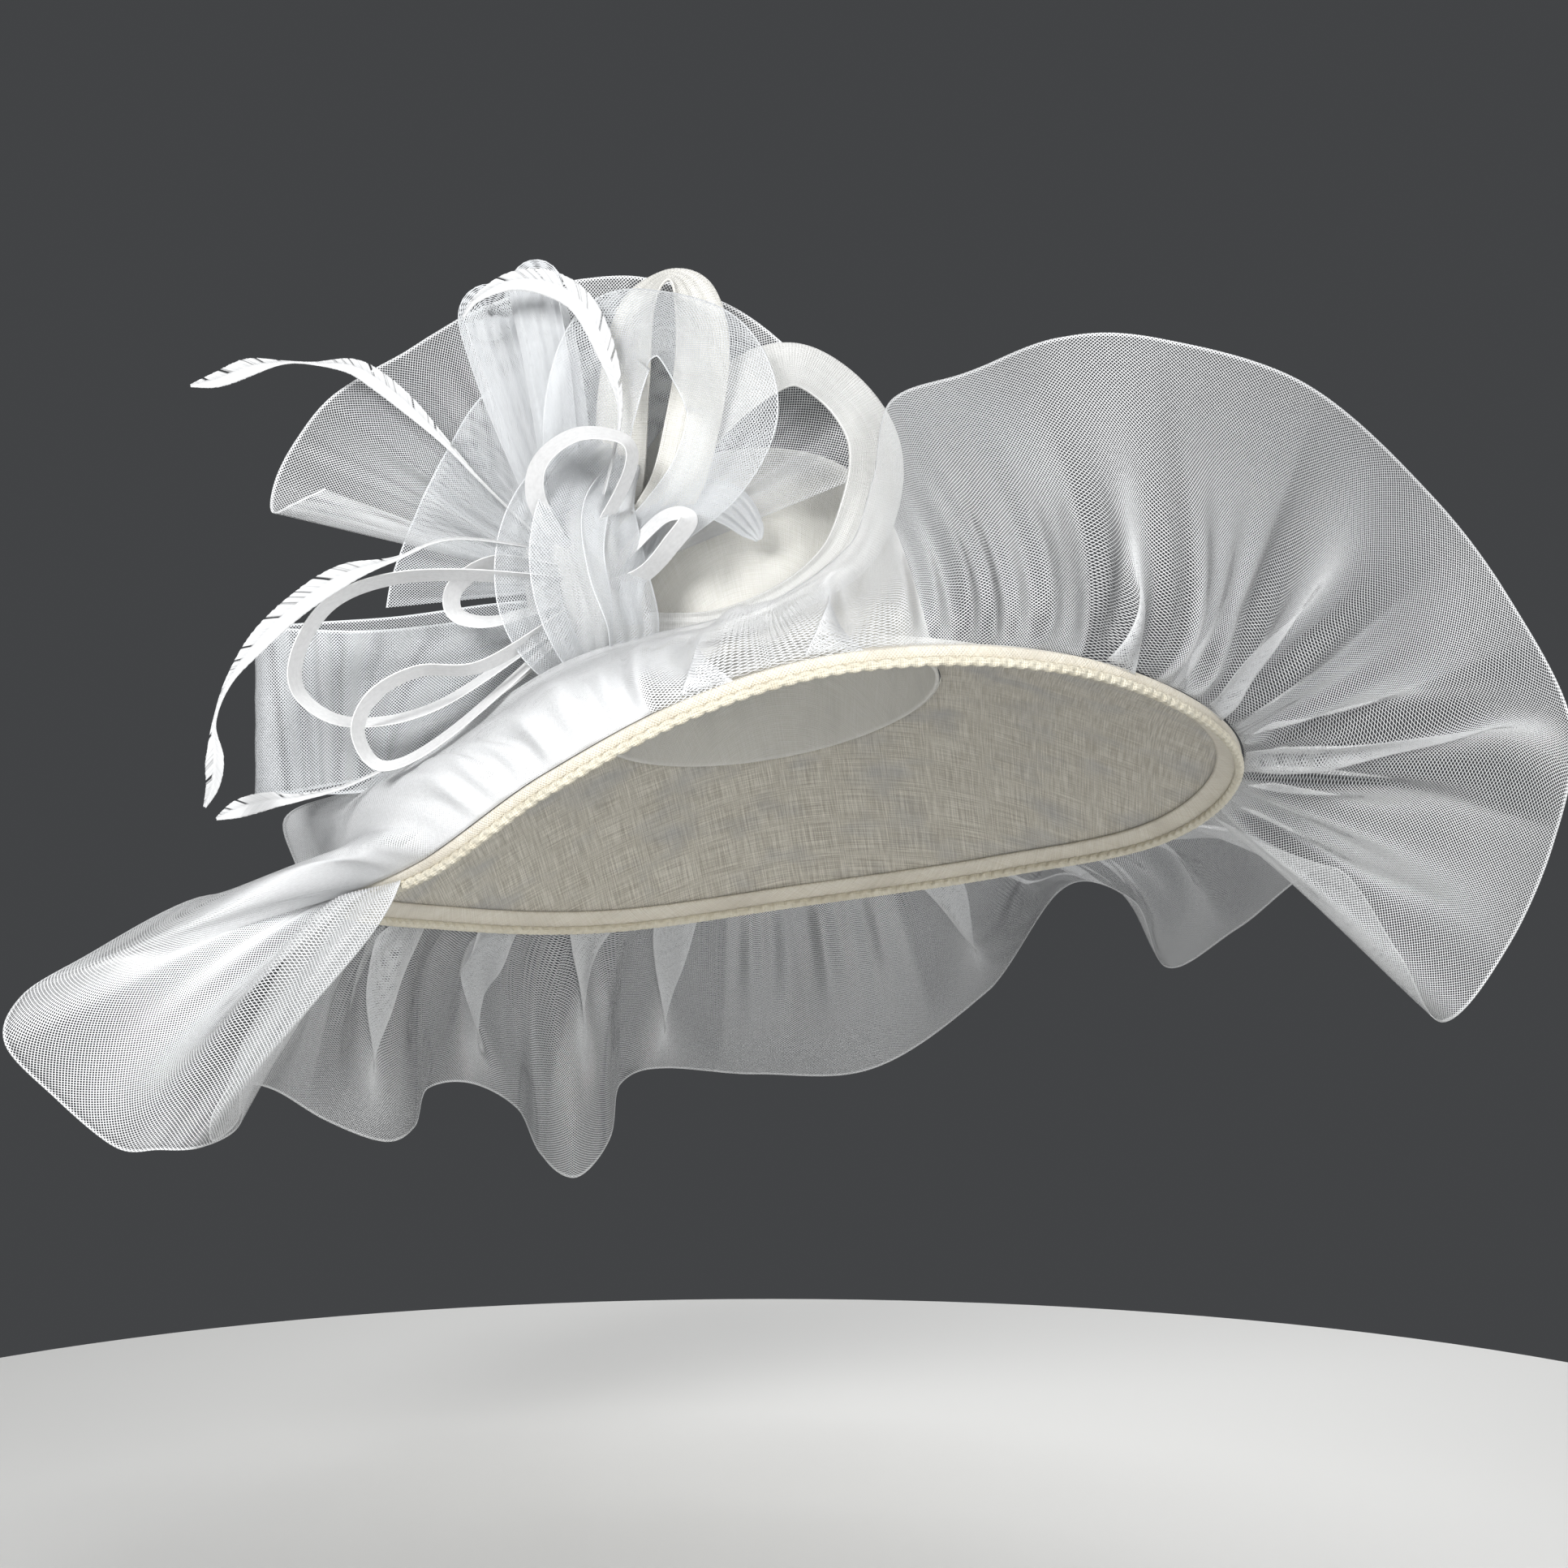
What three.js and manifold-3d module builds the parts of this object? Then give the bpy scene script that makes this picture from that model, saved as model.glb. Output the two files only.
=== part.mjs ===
// A wide-brimmed sinamay dress hat with a gathered crin ruffle and a bow of crin, sinamay,
// ribbon and feathers. Millimetres, +Z up, the wearer looks along -Y, +X is to the right of
// someone who faces the hat. The origin is the middle of the head opening, as it is worn.
import * as THREE from 'three';
import Module from 'manifold-3d';

const wasm = await Module();
wasm.setup();

// Driving dimensions of the hat's body
const headWidth = 172;
const headDepth = 200;
const crownHeight = 122;
const sinamayWall = 2;
const brimReachSide = 134;
const brimReachFront = 112;
const brimDrop = 58;
const bindingReach = 10;
const bindingWall = 1.5;
const clearance = 0.3;
const backTilt = 14;
const sideTilt = 10;

// Driving dimensions of the ruffle
const crinWidth = 160;
const crinWall = 1;
const gatherCount = 40;
const gatherDepth = 2.6;

// Driving dimensions of the bow
const knotWidth = 58;
const knotHeight = 92;
const knotDepth = 88;
const knotAngle = -130;
const knotRise = 0.4;
const knotSeatRadius = 0.97;
const knotStandOff = 0.38;
const knotFolds = 7;
const knotFoldDepth = 0.07;
const fanRadius = 145;
const fanSetBack = 0.12;
const layerRadius = 112;
const layerSetBack = 0.035;
const fanRoot = 0.1;
const bowReach = 140;
const strapWidth = 34;
const strapWall = 1.2;
const crinLoopWidth = 44;
const lowerLoopWidth = 76;
const ribbonWidth = 13;
const ribbonWall = 1;
const featherWidth = 15;
const featherWall = 1.2;

// How far the rim hangs below the head opening, as a share of brimDrop, round the hat:
// 0 is the right side, -90 the front
const rimDropTable = [
  { at: -165, drop: 1.22 },
  { at: -137, drop: 1.43 },
  { at: -115, drop: 1.12 },
  { at: -96, drop: 0.83 },
  { at: -80, drop: 0.72 },
  { at: -55, drop: 0.82 },
  { at: -25, drop: 1.1 },
  { at: 0, drop: 1.22 },
  { at: 30, drop: 1.25 },
  { at: 60, drop: 1.02 },
  { at: 90, drop: 0.86 },
  { at: 120, drop: 0.88 },
  { at: 150, drop: 0.86 },
  { at: 175, drop: 1.0 },
];

// The crown's outline: radius and height as shares of the head opening and of crownHeight
const crownTable = [
  { height: 0, radius: 1 },
  { height: 0.2, radius: 0.985 },
  { height: 0.42, radius: 0.955 },
  { height: 0.62, radius: 0.91 },
  { height: 0.78, radius: 0.83 },
  { height: 0.89, radius: 0.7 },
  { height: 0.96, radius: 0.5 },
  { height: 0.99, radius: 0.26 },
  { height: 1, radius: 0 },
];

// The folds of the ruffle: where each springs from the rim, where its free edge lies from
// there in shares of crinWidth (x right, y back, z up), and the angle at which it leaves the rim
const ruffleTable = [
  { at: -108, x: -0.06, y: 0.57, z: 0.2, rise: 100, shift: 0 },
  { at: -99, x: 0.08, y: 0.66, z: 0.27, rise: 100, shift: 0 },
  { at: -90, x: 0.07, y: 0.7, z: 0.27, rise: 100, shift: 0 },
  { at: -80, x: 0.02, y: 0.67, z: 0.36, rise: 100, shift: 0 },
  { at: -72, x: -0.1, y: 0.66, z: 0.54, rise: 95, shift: 0 },
  { at: -65, x: -0.21, y: 0.6, z: 0.75, rise: 85, shift: 0 },
  { at: -57, x: -0.16, y: 0.5, z: 0.84, rise: 75, shift: 0 },
  { at: -48, x: -0.08, y: 0.28, z: 0.95, rise: 65, shift: 0 },
  { at: -40, x: 0.05, y: 0.12, z: 0.98, rise: 55, shift: 0 },
  { at: -31, x: 0.36, y: 0.12, z: 0.92, rise: 60, shift: 0 },
  { at: -22, x: 0.66, y: 0.2, z: 0.68, rise: 55, shift: 0 },
  { at: -13, x: 0.84, y: 0.08, z: 0.42, rise: 35, shift: 0 },
  { at: -4, x: 0.96, y: -0.2, z: 0.1, rise: 20, shift: 0 },
  { at: 5, x: 0.94, y: -0.24, z: -0.18, rise: 15, shift: 0 },
  { at: 12, x: 0.85, y: -0.2, z: -0.48, rise: 0, shift: 0 },
  { at: 18, x: 0.73, y: -0.12, z: -0.67, rise: -10, shift: 0 },
  { at: 23, x: 0.76, y: 0.45, z: -0.46, rise: 15, shift: 0 },
  { at: 29, x: 0.66, y: 0.74, z: -0.14, rise: 30, shift: 0 },
  { at: 36, x: 0.46, y: 0.82, z: -0.32, rise: 20, shift: 0 },
  { at: 44, x: 0.34, y: 0.83, z: -0.44, rise: 10, shift: 0 },
  { at: 52, x: 0.38, y: 0.9, z: -0.18, rise: 25, shift: 0 },
  { at: 60, x: 0.3, y: 0.94, z: -0.11, rise: 20, shift: 0 },
  { at: 70, x: 0.24, y: 0.86, z: -0.44, rise: 0, shift: 0 },
  { at: 84, x: 0.13, y: 0.72, z: -0.68, rise: -15, shift: 0 },
  { at: 97, x: 0, y: 0.74, z: -0.66, rise: -10, shift: 0 },
  { at: 109, x: -0.09, y: 0.79, z: -0.6, rise: 0, shift: 0 },
  { at: 114, x: -0.1, y: 0.68, z: -0.64, rise: -5, shift: 0 },
  { at: 118, x: -0.04, y: 0.58, z: -0.81, rise: -15, shift: 0 },
  { at: 121.5, x: -0.07, y: 0.52, z: -0.93, rise: -20, shift: 0.5 },
  { at: 125, x: -0.11, y: 0.6, z: -0.86, rise: -15, shift: 1 },
  { at: 131, x: -0.11, y: 0.74, z: -0.7, rise: -5, shift: 0 },
  { at: 138, x: -0.16, y: 0.81, z: -0.62, rise: 0, shift: -1 },
  { at: 144, x: -0.21, y: 0.73, z: -0.63, rise: -5, shift: -1 },
  { at: 148, x: -0.16, y: 0.63, z: -0.75, rise: -15, shift: 0 },
  { at: 153, x: -0.18, y: 0.59, z: -0.8, rise: -20, shift: 0 },
  { at: 159, x: -0.3, y: 0.61, z: -0.73, rise: -10, shift: 0 },
  { at: 166, x: -0.41, y: 0.61, z: -0.62, rise: 0, shift: 0 },
  { at: 172, x: -0.44, y: 0.48, z: -0.6, rise: -5, shift: 0 },
  { at: 177, x: -0.41, y: 0.4, z: -0.7, rise: -10, shift: 0 },
  { at: 182, x: -0.45, y: 0.3, z: -0.75, rise: -20, shift: 0 },
  { at: 189, x: -0.43, y: 0.28, z: -0.66, rise: -20, shift: -1 },
  { at: 195, x: -0.32, y: 0.11, z: -0.54, rise: -25, shift: 2 },
  { at: 200, x: -0.38, y: 0.04, z: -0.68, rise: -22, shift: 9 },
  { at: 204, x: -0.57, y: -0.02, z: -0.76, rise: -8, shift: 14 },
  { at: 208, x: -0.64, y: -0.09, z: -0.75, rise: 5, shift: 7 },
  { at: 212, x: -0.68, y: -0.2, z: -0.72, rise: 14, shift: -4 },
  { at: 216, x: -0.83, y: -0.23, z: -0.57, rise: 22, shift: -11 },
  { at: 219.5, x: -0.97, y: -0.22, z: -0.42, rise: 30, shift: -14.5 },
  { at: 222.5, x: -0.96, y: -0.11, z: -0.3, rise: 38, shift: -15.5 },
  { at: 225.5, x: -0.85, y: 0.05, z: -0.21, rise: 48, shift: -14.5 },
  { at: 229, x: -0.67, y: 0.52, z: -0.08, rise: 64, shift: -11.5 },
  { at: 233, x: -0.5, y: 0.83, z: -0.1, rise: 76, shift: -9 },
  { at: 237, x: -0.63, y: 0.82, z: 0.04, rise: 88, shift: -6 },
  { at: 242, x: -0.55, y: 0.81, z: 0.02, rise: 95, shift: -4 },
  { at: 248, x: -0.34, y: 0.71, z: 0.07, rise: 97, shift: -2 },
];

// The two gathered crin fans: the angle in the plane of the bow, counted from the right,
// the free edge as a share of the fan's radius and how far forward it leans, also a share
const fanTable = [
  { at: 22, reach: 0.95, fore: 0.05 },
  { at: 36, reach: 0.99, fore: 0.01 },
  { at: 50, reach: 1.01, fore: 0.02 },
  { at: 64, reach: 1.03, fore: -0.04 },
  { at: 80, reach: 1.02, fore: 0.02 },
  { at: 96, reach: 1.0, fore: -0.05 },
  { at: 112, reach: 0.97, fore: 0.01 },
  { at: 128, reach: 0.98, fore: -0.06 },
  { at: 144, reach: 1.04, fore: 0.0 },
  { at: 158, reach: 1.09, fore: -0.04 },
  { at: 170, reach: 1.02, fore: 0.0 },
  { at: 180, reach: 0.72, fore: 0.02 },
];
const layerTable = [
  { at: 58, reach: 1.14, fore: 0.02 },
  { at: 72, reach: 1.05, fore: -0.04 },
  { at: 86, reach: 1.0, fore: 0.03 },
  { at: 102, reach: 0.95, fore: -0.04 },
  { at: 118, reach: 0.91, fore: 0.03 },
  { at: 134, reach: 0.83, fore: -0.03 },
  { at: 150, reach: 0.78, fore: 0.03 },
  { at: 166, reach: 0.79, fore: -0.02 },
  { at: 186, reach: 0.84, fore: 0.03 },
];

// The loops and feathers: the middle line from the knot in shares of bowReach (right, fore
// and up), the width as a share of the strip's own width, and the turn of the width from
// the line of sight towards the plane of the bow
const strapRightTable = [
  { right: 0.05, fore: 0.02, up: 0.06, width: 0.5, turn: 60 },
  { right: 0.21, fore: 0.045, up: 0.31, width: 0.8, turn: 60 },
  { right: 0.4, fore: 0.08, up: 0.56, width: 0.9, turn: 60 },
  { right: 0.56, fore: 0.09, up: 0.69, width: 1, turn: 50 },
  { right: 0.7, fore: 0.07, up: 0.73, width: 1, turn: 42 },
  { right: 0.84, fore: 0, up: 0.66, width: 1, turn: 42 },
  { right: 0.94, fore: -0.02, up: 0.53, width: 1, turn: 45 },
  { right: 0.965, fore: -0.02, up: 0.39, width: 1, turn: 50 },
  { right: 0.93, fore: 0, up: 0.23, width: 0.9, turn: 60 },
  { right: 0.86, fore: 0.03, up: 0.1, width: 0.7, turn: 75 },
  { right: 0.74, fore: 0.065, up: 0, width: 0.5, turn: 85 },
  { right: 0.6, fore: 0.085, up: -0.08, width: 0.45, turn: 88 },
  { right: 0.44, fore: 0.085, up: -0.13, width: 0.4, turn: 88 },
  { right: 0.28, fore: 0.07, up: -0.14, width: 0.4, turn: 88 },
  { right: 0.13, fore: 0.07, up: -0.13, width: 0.4, turn: 88 },
];
const strapTopTable = [
  { right: 0.06, fore: 0.07, up: 0.08, width: 0.5, turn: 80 },
  { right: 0.11, fore: 0.11, up: 0.33, width: 0.7, turn: 80 },
  { right: 0.13, fore: 0.12, up: 0.65, width: 0.75, turn: 70 },
  { right: 0.17, fore: 0.1, up: 0.91, width: 0.75, turn: 45 },
  { right: 0.27, fore: 0.11, up: 1.02, width: 0.75, turn: 20 },
  { right: 0.36, fore: 0.14, up: 0.96, width: 0.75, turn: 50 },
  { right: 0.39, fore: 0.17, up: 0.77, width: 0.75, turn: 75 },
  { right: 0.36, fore: 0.18, up: 0.54, width: 0.75, turn: 80 },
  { right: 0.29, fore: 0.17, up: 0.3, width: 0.7, turn: 80 },
  { right: 0.12, fore: 0.12, up: 0.1, width: 0.5, turn: 80 },
];
const crinTopTable = [
  { right: 0.02, fore: 0.15, up: 0.08, width: 0.5, turn: 90 },
  { right: 0.01, fore: 0.25, up: 0.31, width: 0.8, turn: 90 },
  { right: 0.03, fore: 0.31, up: 0.56, width: 0.95, turn: 90 },
  { right: 0.11, fore: 0.32, up: 0.78, width: 1.0, turn: 75 },
  { right: 0.27, fore: 0.32, up: 0.83, width: 1.0, turn: 50 },
  { right: 0.42, fore: 0.33, up: 0.73, width: 1.0, turn: 75 },
  { right: 0.49, fore: 0.34, up: 0.55, width: 0.95, turn: 90 },
  { right: 0.42, fore: 0.31, up: 0.36, width: 0.8, turn: 90 },
  { right: 0.28, fore: 0.24, up: 0.21, width: 0.6, turn: 90 },
  { right: 0.12, fore: 0.17, up: 0.08, width: 0.5, turn: 90 },
];
const pleatLeftTable = [
  { right: -0.05, fore: 0.06, up: 0.08, width: 0.4, turn: 90 },
  { right: -0.15, fore: 0.12, up: 0.35, width: 0.45, turn: 90 },
  { right: -0.25, fore: 0.13, up: 0.63, width: 0.55, turn: 90 },
  { right: -0.32, fore: 0.12, up: 0.86, width: 0.6, turn: 90 },
  { right: -0.31, fore: 0.08, up: 0.9, width: 0.6, turn: 90 },
  { right: -0.29, fore: 0.05, up: 0.84, width: 0.6, turn: 90 },
  { right: -0.21, fore: 0.05, up: 0.62, width: 0.55, turn: 90 },
  { right: -0.12, fore: 0.04, up: 0.35, width: 0.45, turn: 90 },
  { right: -0.03, fore: 0.02, up: 0.08, width: 0.4, turn: 90 },
];
const pleatMidTable = [
  { right: -0.05, fore: 0.12, up: 0.08, width: 0.4, turn: 90 },
  { right: -0.08, fore: 0.2, up: 0.42, width: 0.42, turn: 90 },
  { right: -0.12, fore: 0.23, up: 0.74, width: 0.48, turn: 90 },
  { right: -0.16, fore: 0.22, up: 0.94, width: 0.5, turn: 90 },
  { right: -0.15, fore: 0.19, up: 0.98, width: 0.5, turn: 90 },
  { right: -0.14, fore: 0.17, up: 0.92, width: 0.5, turn: 90 },
  { right: -0.09, fore: 0.17, up: 0.74, width: 0.48, turn: 90 },
  { right: -0.04, fore: 0.16, up: 0.42, width: 0.42, turn: 90 },
  { right: -0.01, fore: 0.09, up: 0.08, width: 0.4, turn: 90 },
];
const crinLowerTable = [
  { right: -0.06, fore: 0.03, up: -0.14, width: 0.6, turn: 0 },
  { right: -0.31, fore: 0.06, up: -0.2, width: 0.72, turn: 0 },
  { right: -0.63, fore: 0.06, up: -0.31, width: 0.9, turn: 0 },
  { right: -0.92, fore: 0.08, up: -0.4, width: 1.0, turn: 0 },
  { right: -1.07, fore: 0.16, up: -0.42, width: 1.0, turn: 0 },
  { right: -1.0, fore: 0.25, up: -0.42, width: 0.98, turn: 0 },
  { right: -0.7, fore: 0.25, up: -0.39, width: 0.85, turn: 0 },
  { right: -0.4, fore: 0.2, up: -0.3, width: 0.7, turn: 0 },
  { right: -0.08, fore: 0.1, up: -0.16, width: 0.55, turn: 0 },
];
const ribbonTables = [
  [
    { right: -0.06, fore: 0.24, up: 0.1, width: 1, turn: 20 },
    { right: -0.14, fore: 0.37, up: 0.26, width: 1, turn: 20 },
    { right: -0.12, fore: 0.42, up: 0.38, width: 1, turn: 25 },
    { right: 0.0, fore: 0.45, up: 0.46, width: 1, turn: 30 },
    { right: 0.15, fore: 0.46, up: 0.44, width: 1, turn: 25 },
    { right: 0.16, fore: 0.41, up: 0.34, width: 1, turn: 20 },
    { right: 0.04, fore: 0.24, up: 0.14, width: 1, turn: 20 },
  ],
  [
    { right: -0.08, fore: 0.23, up: 0.04, width: 1, turn: 20 },
    { right: -0.27, fore: 0.33, up: 0.06, width: 1, turn: 25 },
    { right: -0.4, fore: 0.35, up: -0.02, width: 1, turn: 30 },
    { right: -0.4, fore: 0.34, up: -0.11, width: 1, turn: 30 },
    { right: -0.28, fore: 0.31, up: -0.13, width: 1, turn: 25 },
    { right: -0.08, fore: 0.23, up: -0.06, width: 1, turn: 20 },
  ],
  [
    { right: -0.06, fore: 0.24, up: 0.0, width: 1, turn: 20 },
    { right: -0.36, fore: 0.46, up: 0.01, width: 1, turn: 20 },
    { right: -0.6, fore: 0.53, up: -0.01, width: 1, turn: 20 },
    { right: -0.78, fore: 0.56, up: -0.09, width: 1, turn: 20 },
    { right: -0.88, fore: 0.56, up: -0.25, width: 1, turn: 20 },
    { right: -0.87, fore: 0.53, up: -0.38, width: 1, turn: 20 },
    { right: -0.72, fore: 0.46, up: -0.46, width: 1, turn: 20 },
    { right: -0.45, fore: 0.37, up: -0.4, width: 1, turn: 20 },
    { right: -0.09, fore: 0.17, up: -0.14, width: 1, turn: 20 },
  ],
  [
    { right: -0.04, fore: 0.24, up: -0.1, width: 1, turn: 20 },
    { right: -0.3, fore: 0.48, up: -0.28, width: 1, turn: 20 },
    { right: -0.5, fore: 0.55, up: -0.3, width: 1, turn: 20 },
    { right: -0.64, fore: 0.57, up: -0.38, width: 1, turn: 20 },
    { right: -0.69, fore: 0.55, up: -0.5, width: 1, turn: 20 },
    { right: -0.61, fore: 0.5, up: -0.6, width: 1, turn: 20 },
    { right: -0.4, fore: 0.49, up: -0.49, width: 1, turn: 20 },
    { right: -0.05, fore: 0.2, up: -0.15, width: 1, turn: 20 },
  ],
  [
    { right: 0.08, fore: 0.19, up: 0.03, width: 1, turn: 30 },
    { right: 0.26, fore: 0.32, up: 0.2, width: 1, turn: 30 },
    { right: 0.35, fore: 0.37, up: 0.2, width: 1, turn: 35 },
    { right: 0.3, fore: 0.39, up: 0.12, width: 1, turn: 35 },
    { right: 0.2, fore: 0.32, up: 0.02, width: 1, turn: 30 },
    { right: 0.05, fore: 0.23, up: -0.03, width: 1, turn: 30 },
  ],
];
const featherTables = [
  [
    { right: -0.08, fore: 0.0, up: 0.09, width: 0.12, turn: 90 },
    { right: -0.33, fore: 0.03, up: 0.33, width: 0.12, turn: 90 },
    { right: -0.46, fore: 0.05, up: 0.47, width: 0.3, turn: 90 },
    { right: -0.58, fore: 0.04, up: 0.59, width: 0.7, turn: 90 },
    { right: -0.69, fore: 0.04, up: 0.68, width: 0.8, turn: 90 },
    { right: -0.78, fore: 0.03, up: 0.73, width: 0.6, turn: 90 },
    { right: -0.9, fore: 0.03, up: 0.74, width: 0.14, turn: 90 },
    { right: -1.0, fore: 0.02, up: 0.745, width: 0.14, turn: 90 },
    { right: -1.12, fore: 0.01, up: 0.73, width: 0.75, turn: 90 },
    { right: -1.23, fore: 0.0, up: 0.69, width: 0.6, turn: 90 },
    { right: -1.32, fore: 0.0, up: 0.67, width: 0.1, turn: 90 },
  ],
  [
    { right: -0.06, fore: 0.22, up: 0.1, width: 0.12, turn: 90 },
    { right: -0.38, fore: 0.54, up: 0.12, width: 0.12, turn: 90 },
    { right: -0.57, fore: 0.6, up: 0.05, width: 0.2, turn: 90 },
    { right: -0.72, fore: 0.63, up: 0.0, width: 0.85, turn: 90 },
    { right: -0.86, fore: 0.64, up: -0.09, width: 0.9, turn: 90 },
    { right: -0.98, fore: 0.64, up: -0.2, width: 0.8, turn: 90 },
    { right: -1.08, fore: 0.64, up: -0.33, width: 0.3, turn: 90 },
    { right: -1.13, fore: 0.63, up: -0.46, width: 0.14, turn: 90 },
    { right: -1.13, fore: 0.62, up: -0.57, width: 0.7, turn: 90 },
    { right: -1.14, fore: 0.6, up: -0.66, width: 0.5, turn: 90 },
    { right: -1.17, fore: 0.58, up: -0.73, width: 0.1, turn: 90 },
  ],
  [
    { right: -0.06, fore: 0.19, up: -0.2, width: 0.12, turn: 90 },
    { right: -0.44, fore: 0.34, up: -0.5, width: 0.12, turn: 90 },
    { right: -0.72, fore: 0.37, up: -0.65, width: 0.14, turn: 90 },
    { right: -0.9, fore: 0.36, up: -0.7, width: 0.3, turn: 90 },
    { right: -1.0, fore: 0.34, up: -0.71, width: 0.7, turn: 90 },
    { right: -1.1, fore: 0.32, up: -0.735, width: 0.7, turn: 90 },
    { right: -1.18, fore: 0.31, up: -0.77, width: 0.1, turn: 90 },
  ],
  [
    { right: 0.03, fore: 0.22, up: 0.15, width: 0.12, turn: 90 },
    { right: 0.1, fore: 0.33, up: 0.38, width: 0.12, turn: 90 },
    { right: 0.13, fore: 0.38, up: 0.55, width: 0.2, turn: 90 },
    { right: 0.09, fore: 0.4, up: 0.72, width: 0.8, turn: 90 },
    { right: 0.01, fore: 0.4, up: 0.88, width: 1.0, turn: 90 },
    { right: -0.1, fore: 0.39, up: 0.95, width: 1.0, turn: 90 },
    { right: -0.22, fore: 0.37, up: 0.96, width: 0.7, turn: 90 },
    { right: -0.33, fore: 0.35, up: 0.91, width: 0.3, turn: 90 },
    { right: -0.38, fore: 0.33, up: 0.85, width: 0.1, turn: 90 },
  ],
];

// How the ruffle's arcs bend, in shares of crinWidth, and how its gathers fade towards the edge
const ruffleLeave = 0.28;
const ruffleArrive = 0.3;
const gatherFade = 1.5;

// Mesh fineness
const roundSteps = 48;
const brimSteps = 5;
const ruffleSteps = 4 * gatherCount;
const ruffleRows = 5;
const ruffleRowSpread = 1.15;
const knotSteps = 28;
const knotRows = 12;
const fanStepsPerRow = 2;
const fanRows = 4;
const bandStepsPerRow = 2;

const degree = Math.PI / 180;
const vec = (x, y, z) => new THREE.Vector3(x, y, z);

// The value of a table's column between rows i and i + 1, by a smooth curve through the rows
function between(rows, column, i, t, wrap) {
  const n = rows.length;
  const value = (k) => rows[wrap ? (k + n) % n : Math.min(Math.max(k, 0), n - 1)][column];
  const here = value(i);
  const next = value(i + 1);
  const slopeHere = (next - value(i - 1)) / 2;
  const slopeNext = (value(i + 2) - here) / 2;
  const t2 = t * t;
  const t3 = t2 * t;
  return (2 * t3 - 3 * t2 + 1) * here + (t3 - 2 * t2 + t) * slopeHere
    + (3 * t2 - 2 * t3) * next + (t3 - t2) * slopeNext;
}

// The rows of a table that lie either side of an angle round the hat, and the share between
function spanAt(rows, angle) {
  const first = rows[0].at;
  const turned = first + ((((angle - first) % 360) + 360) % 360);
  let i = rows.length - 1;
  while (rows[i].at > turned) {
    i -= 1;
  }
  const end = i + 1 < rows.length ? rows[i + 1].at : first + 360;
  return { i, t: (turned - rows[i].at) / (end - rows[i].at) };
}

function roundHat(rows, column, angle) {
  const { i, t } = spanAt(rows, angle);
  return between(rows, column, i, t, true);
}

// A smooth curve through a table's rows, in equal steps
function along(rows, stepsPerRow) {
  const columns = Object.keys(rows[0]);
  const samples = [];
  const last = (rows.length - 1) * stepsPerRow;
  for (let k = 0; k <= last; k += 1) {
    const i = Math.min(Math.floor(k / stepsPerRow), rows.length - 2);
    const t = k / stepsPerRow - i;
    samples.push(Object.fromEntries(columns.map((c) => [c, between(rows, c, i, t, false)])));
  }
  return samples;
}

// Triangles over a grid of points; points that coincide become one and lost triangles go
function gridSurface(grid, closed) {
  const points = [];
  const known = new Map();
  const index = grid.map((line) => line.map((p) => {
    const key = `${p.x.toFixed(3)} ${p.y.toFixed(3)} ${p.z.toFixed(3)}`;
    if (!known.has(key)) {
      known.set(key, points.length);
      points.push(p);
    }
    return known.get(key);
  }));
  const faces = [];
  const lines = grid.length;
  for (let i = 0; i < (closed ? lines : lines - 1); i += 1) {
    const here = index[i];
    const next = index[(i + 1) % lines];
    for (let j = 0; j + 1 < here.length; j += 1) {
      for (const face of [[here[j], next[j], next[j + 1]], [here[j], next[j + 1], here[j + 1]]]) {
        if (face[0] !== face[1] && face[1] !== face[2] && face[2] !== face[0]) {
          faces.push(face);
        }
      }
    }
  }
  return { points, faces };
}

function pointNormals({ points, faces }) {
  const normals = points.map(() => vec(0, 0, 0));
  for (const [a, b, c] of faces) {
    const side = points[b].clone().sub(points[a]);
    const across = side.cross(points[c].clone().sub(points[a]));
    for (const k of [a, b, c]) {
      normals[k].add(across);
    }
  }
  return normals.map((n) => n.normalize());
}

function toGeometry({ points, faces }) {
  let volume = 0;
  for (const [a, b, c] of faces) {
    volume += points[a].dot(points[b].clone().cross(points[c]));
  }
  const order = volume > 0 ? faces : faces.map(([a, b, c]) => [a, c, b]);
  const geometry = new THREE.BufferGeometry();
  const coordinates = points.flatMap((p) => [p.x, p.y, p.z]);
  geometry.setAttribute('position', new THREE.Float32BufferAttribute(coordinates, 3));
  geometry.setIndex(order.flat());
  return geometry;
}

// A closed wall of even thickness on both sides of a surface
function wallOf(surface, thickness) {
  const { points, faces } = surface;
  const normals = pointNormals(surface);
  const n = points.length;
  const front = points.map((p, k) => p.clone().addScaledVector(normals[k], thickness / 2));
  const back = points.map((p, k) => p.clone().addScaledVector(normals[k], -thickness / 2));
  const edges = new Map();
  for (const [a, b, c] of faces) {
    for (const [from, to] of [[a, b], [b, c], [c, a]]) {
      if (!edges.delete(`${to} ${from}`)) {
        edges.set(`${from} ${to}`, [from, to]);
      }
    }
  }
  const all = [...faces];
  for (const [a, b, c] of faces) {
    all.push([a + n, c + n, b + n]);
  }
  for (const [from, to] of edges.values()) {
    all.push([to, from, from + n], [to, from + n, to + n]);
  }
  return toGeometry({ points: [...front, ...back], faces: all });
}

// The hat's own tilt on the head
const tilt = new THREE.Matrix4().makeRotationY(-sideTilt * degree)
  .multiply(new THREE.Matrix4().makeRotationX(-backTilt * degree));
const worn = (p) => p.clone().applyMatrix4(tilt);

// The crown's middle surface, before the tilt
function crownPoint(angle, row) {
  const x = (headWidth / 2 - sinamayWall / 2) * row.radius * Math.cos(angle * degree);
  const y = (headDepth / 2 - sinamayWall / 2) * row.radius * Math.sin(angle * degree);
  return vec(x, y, crownHeight * row.height);
}

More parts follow.
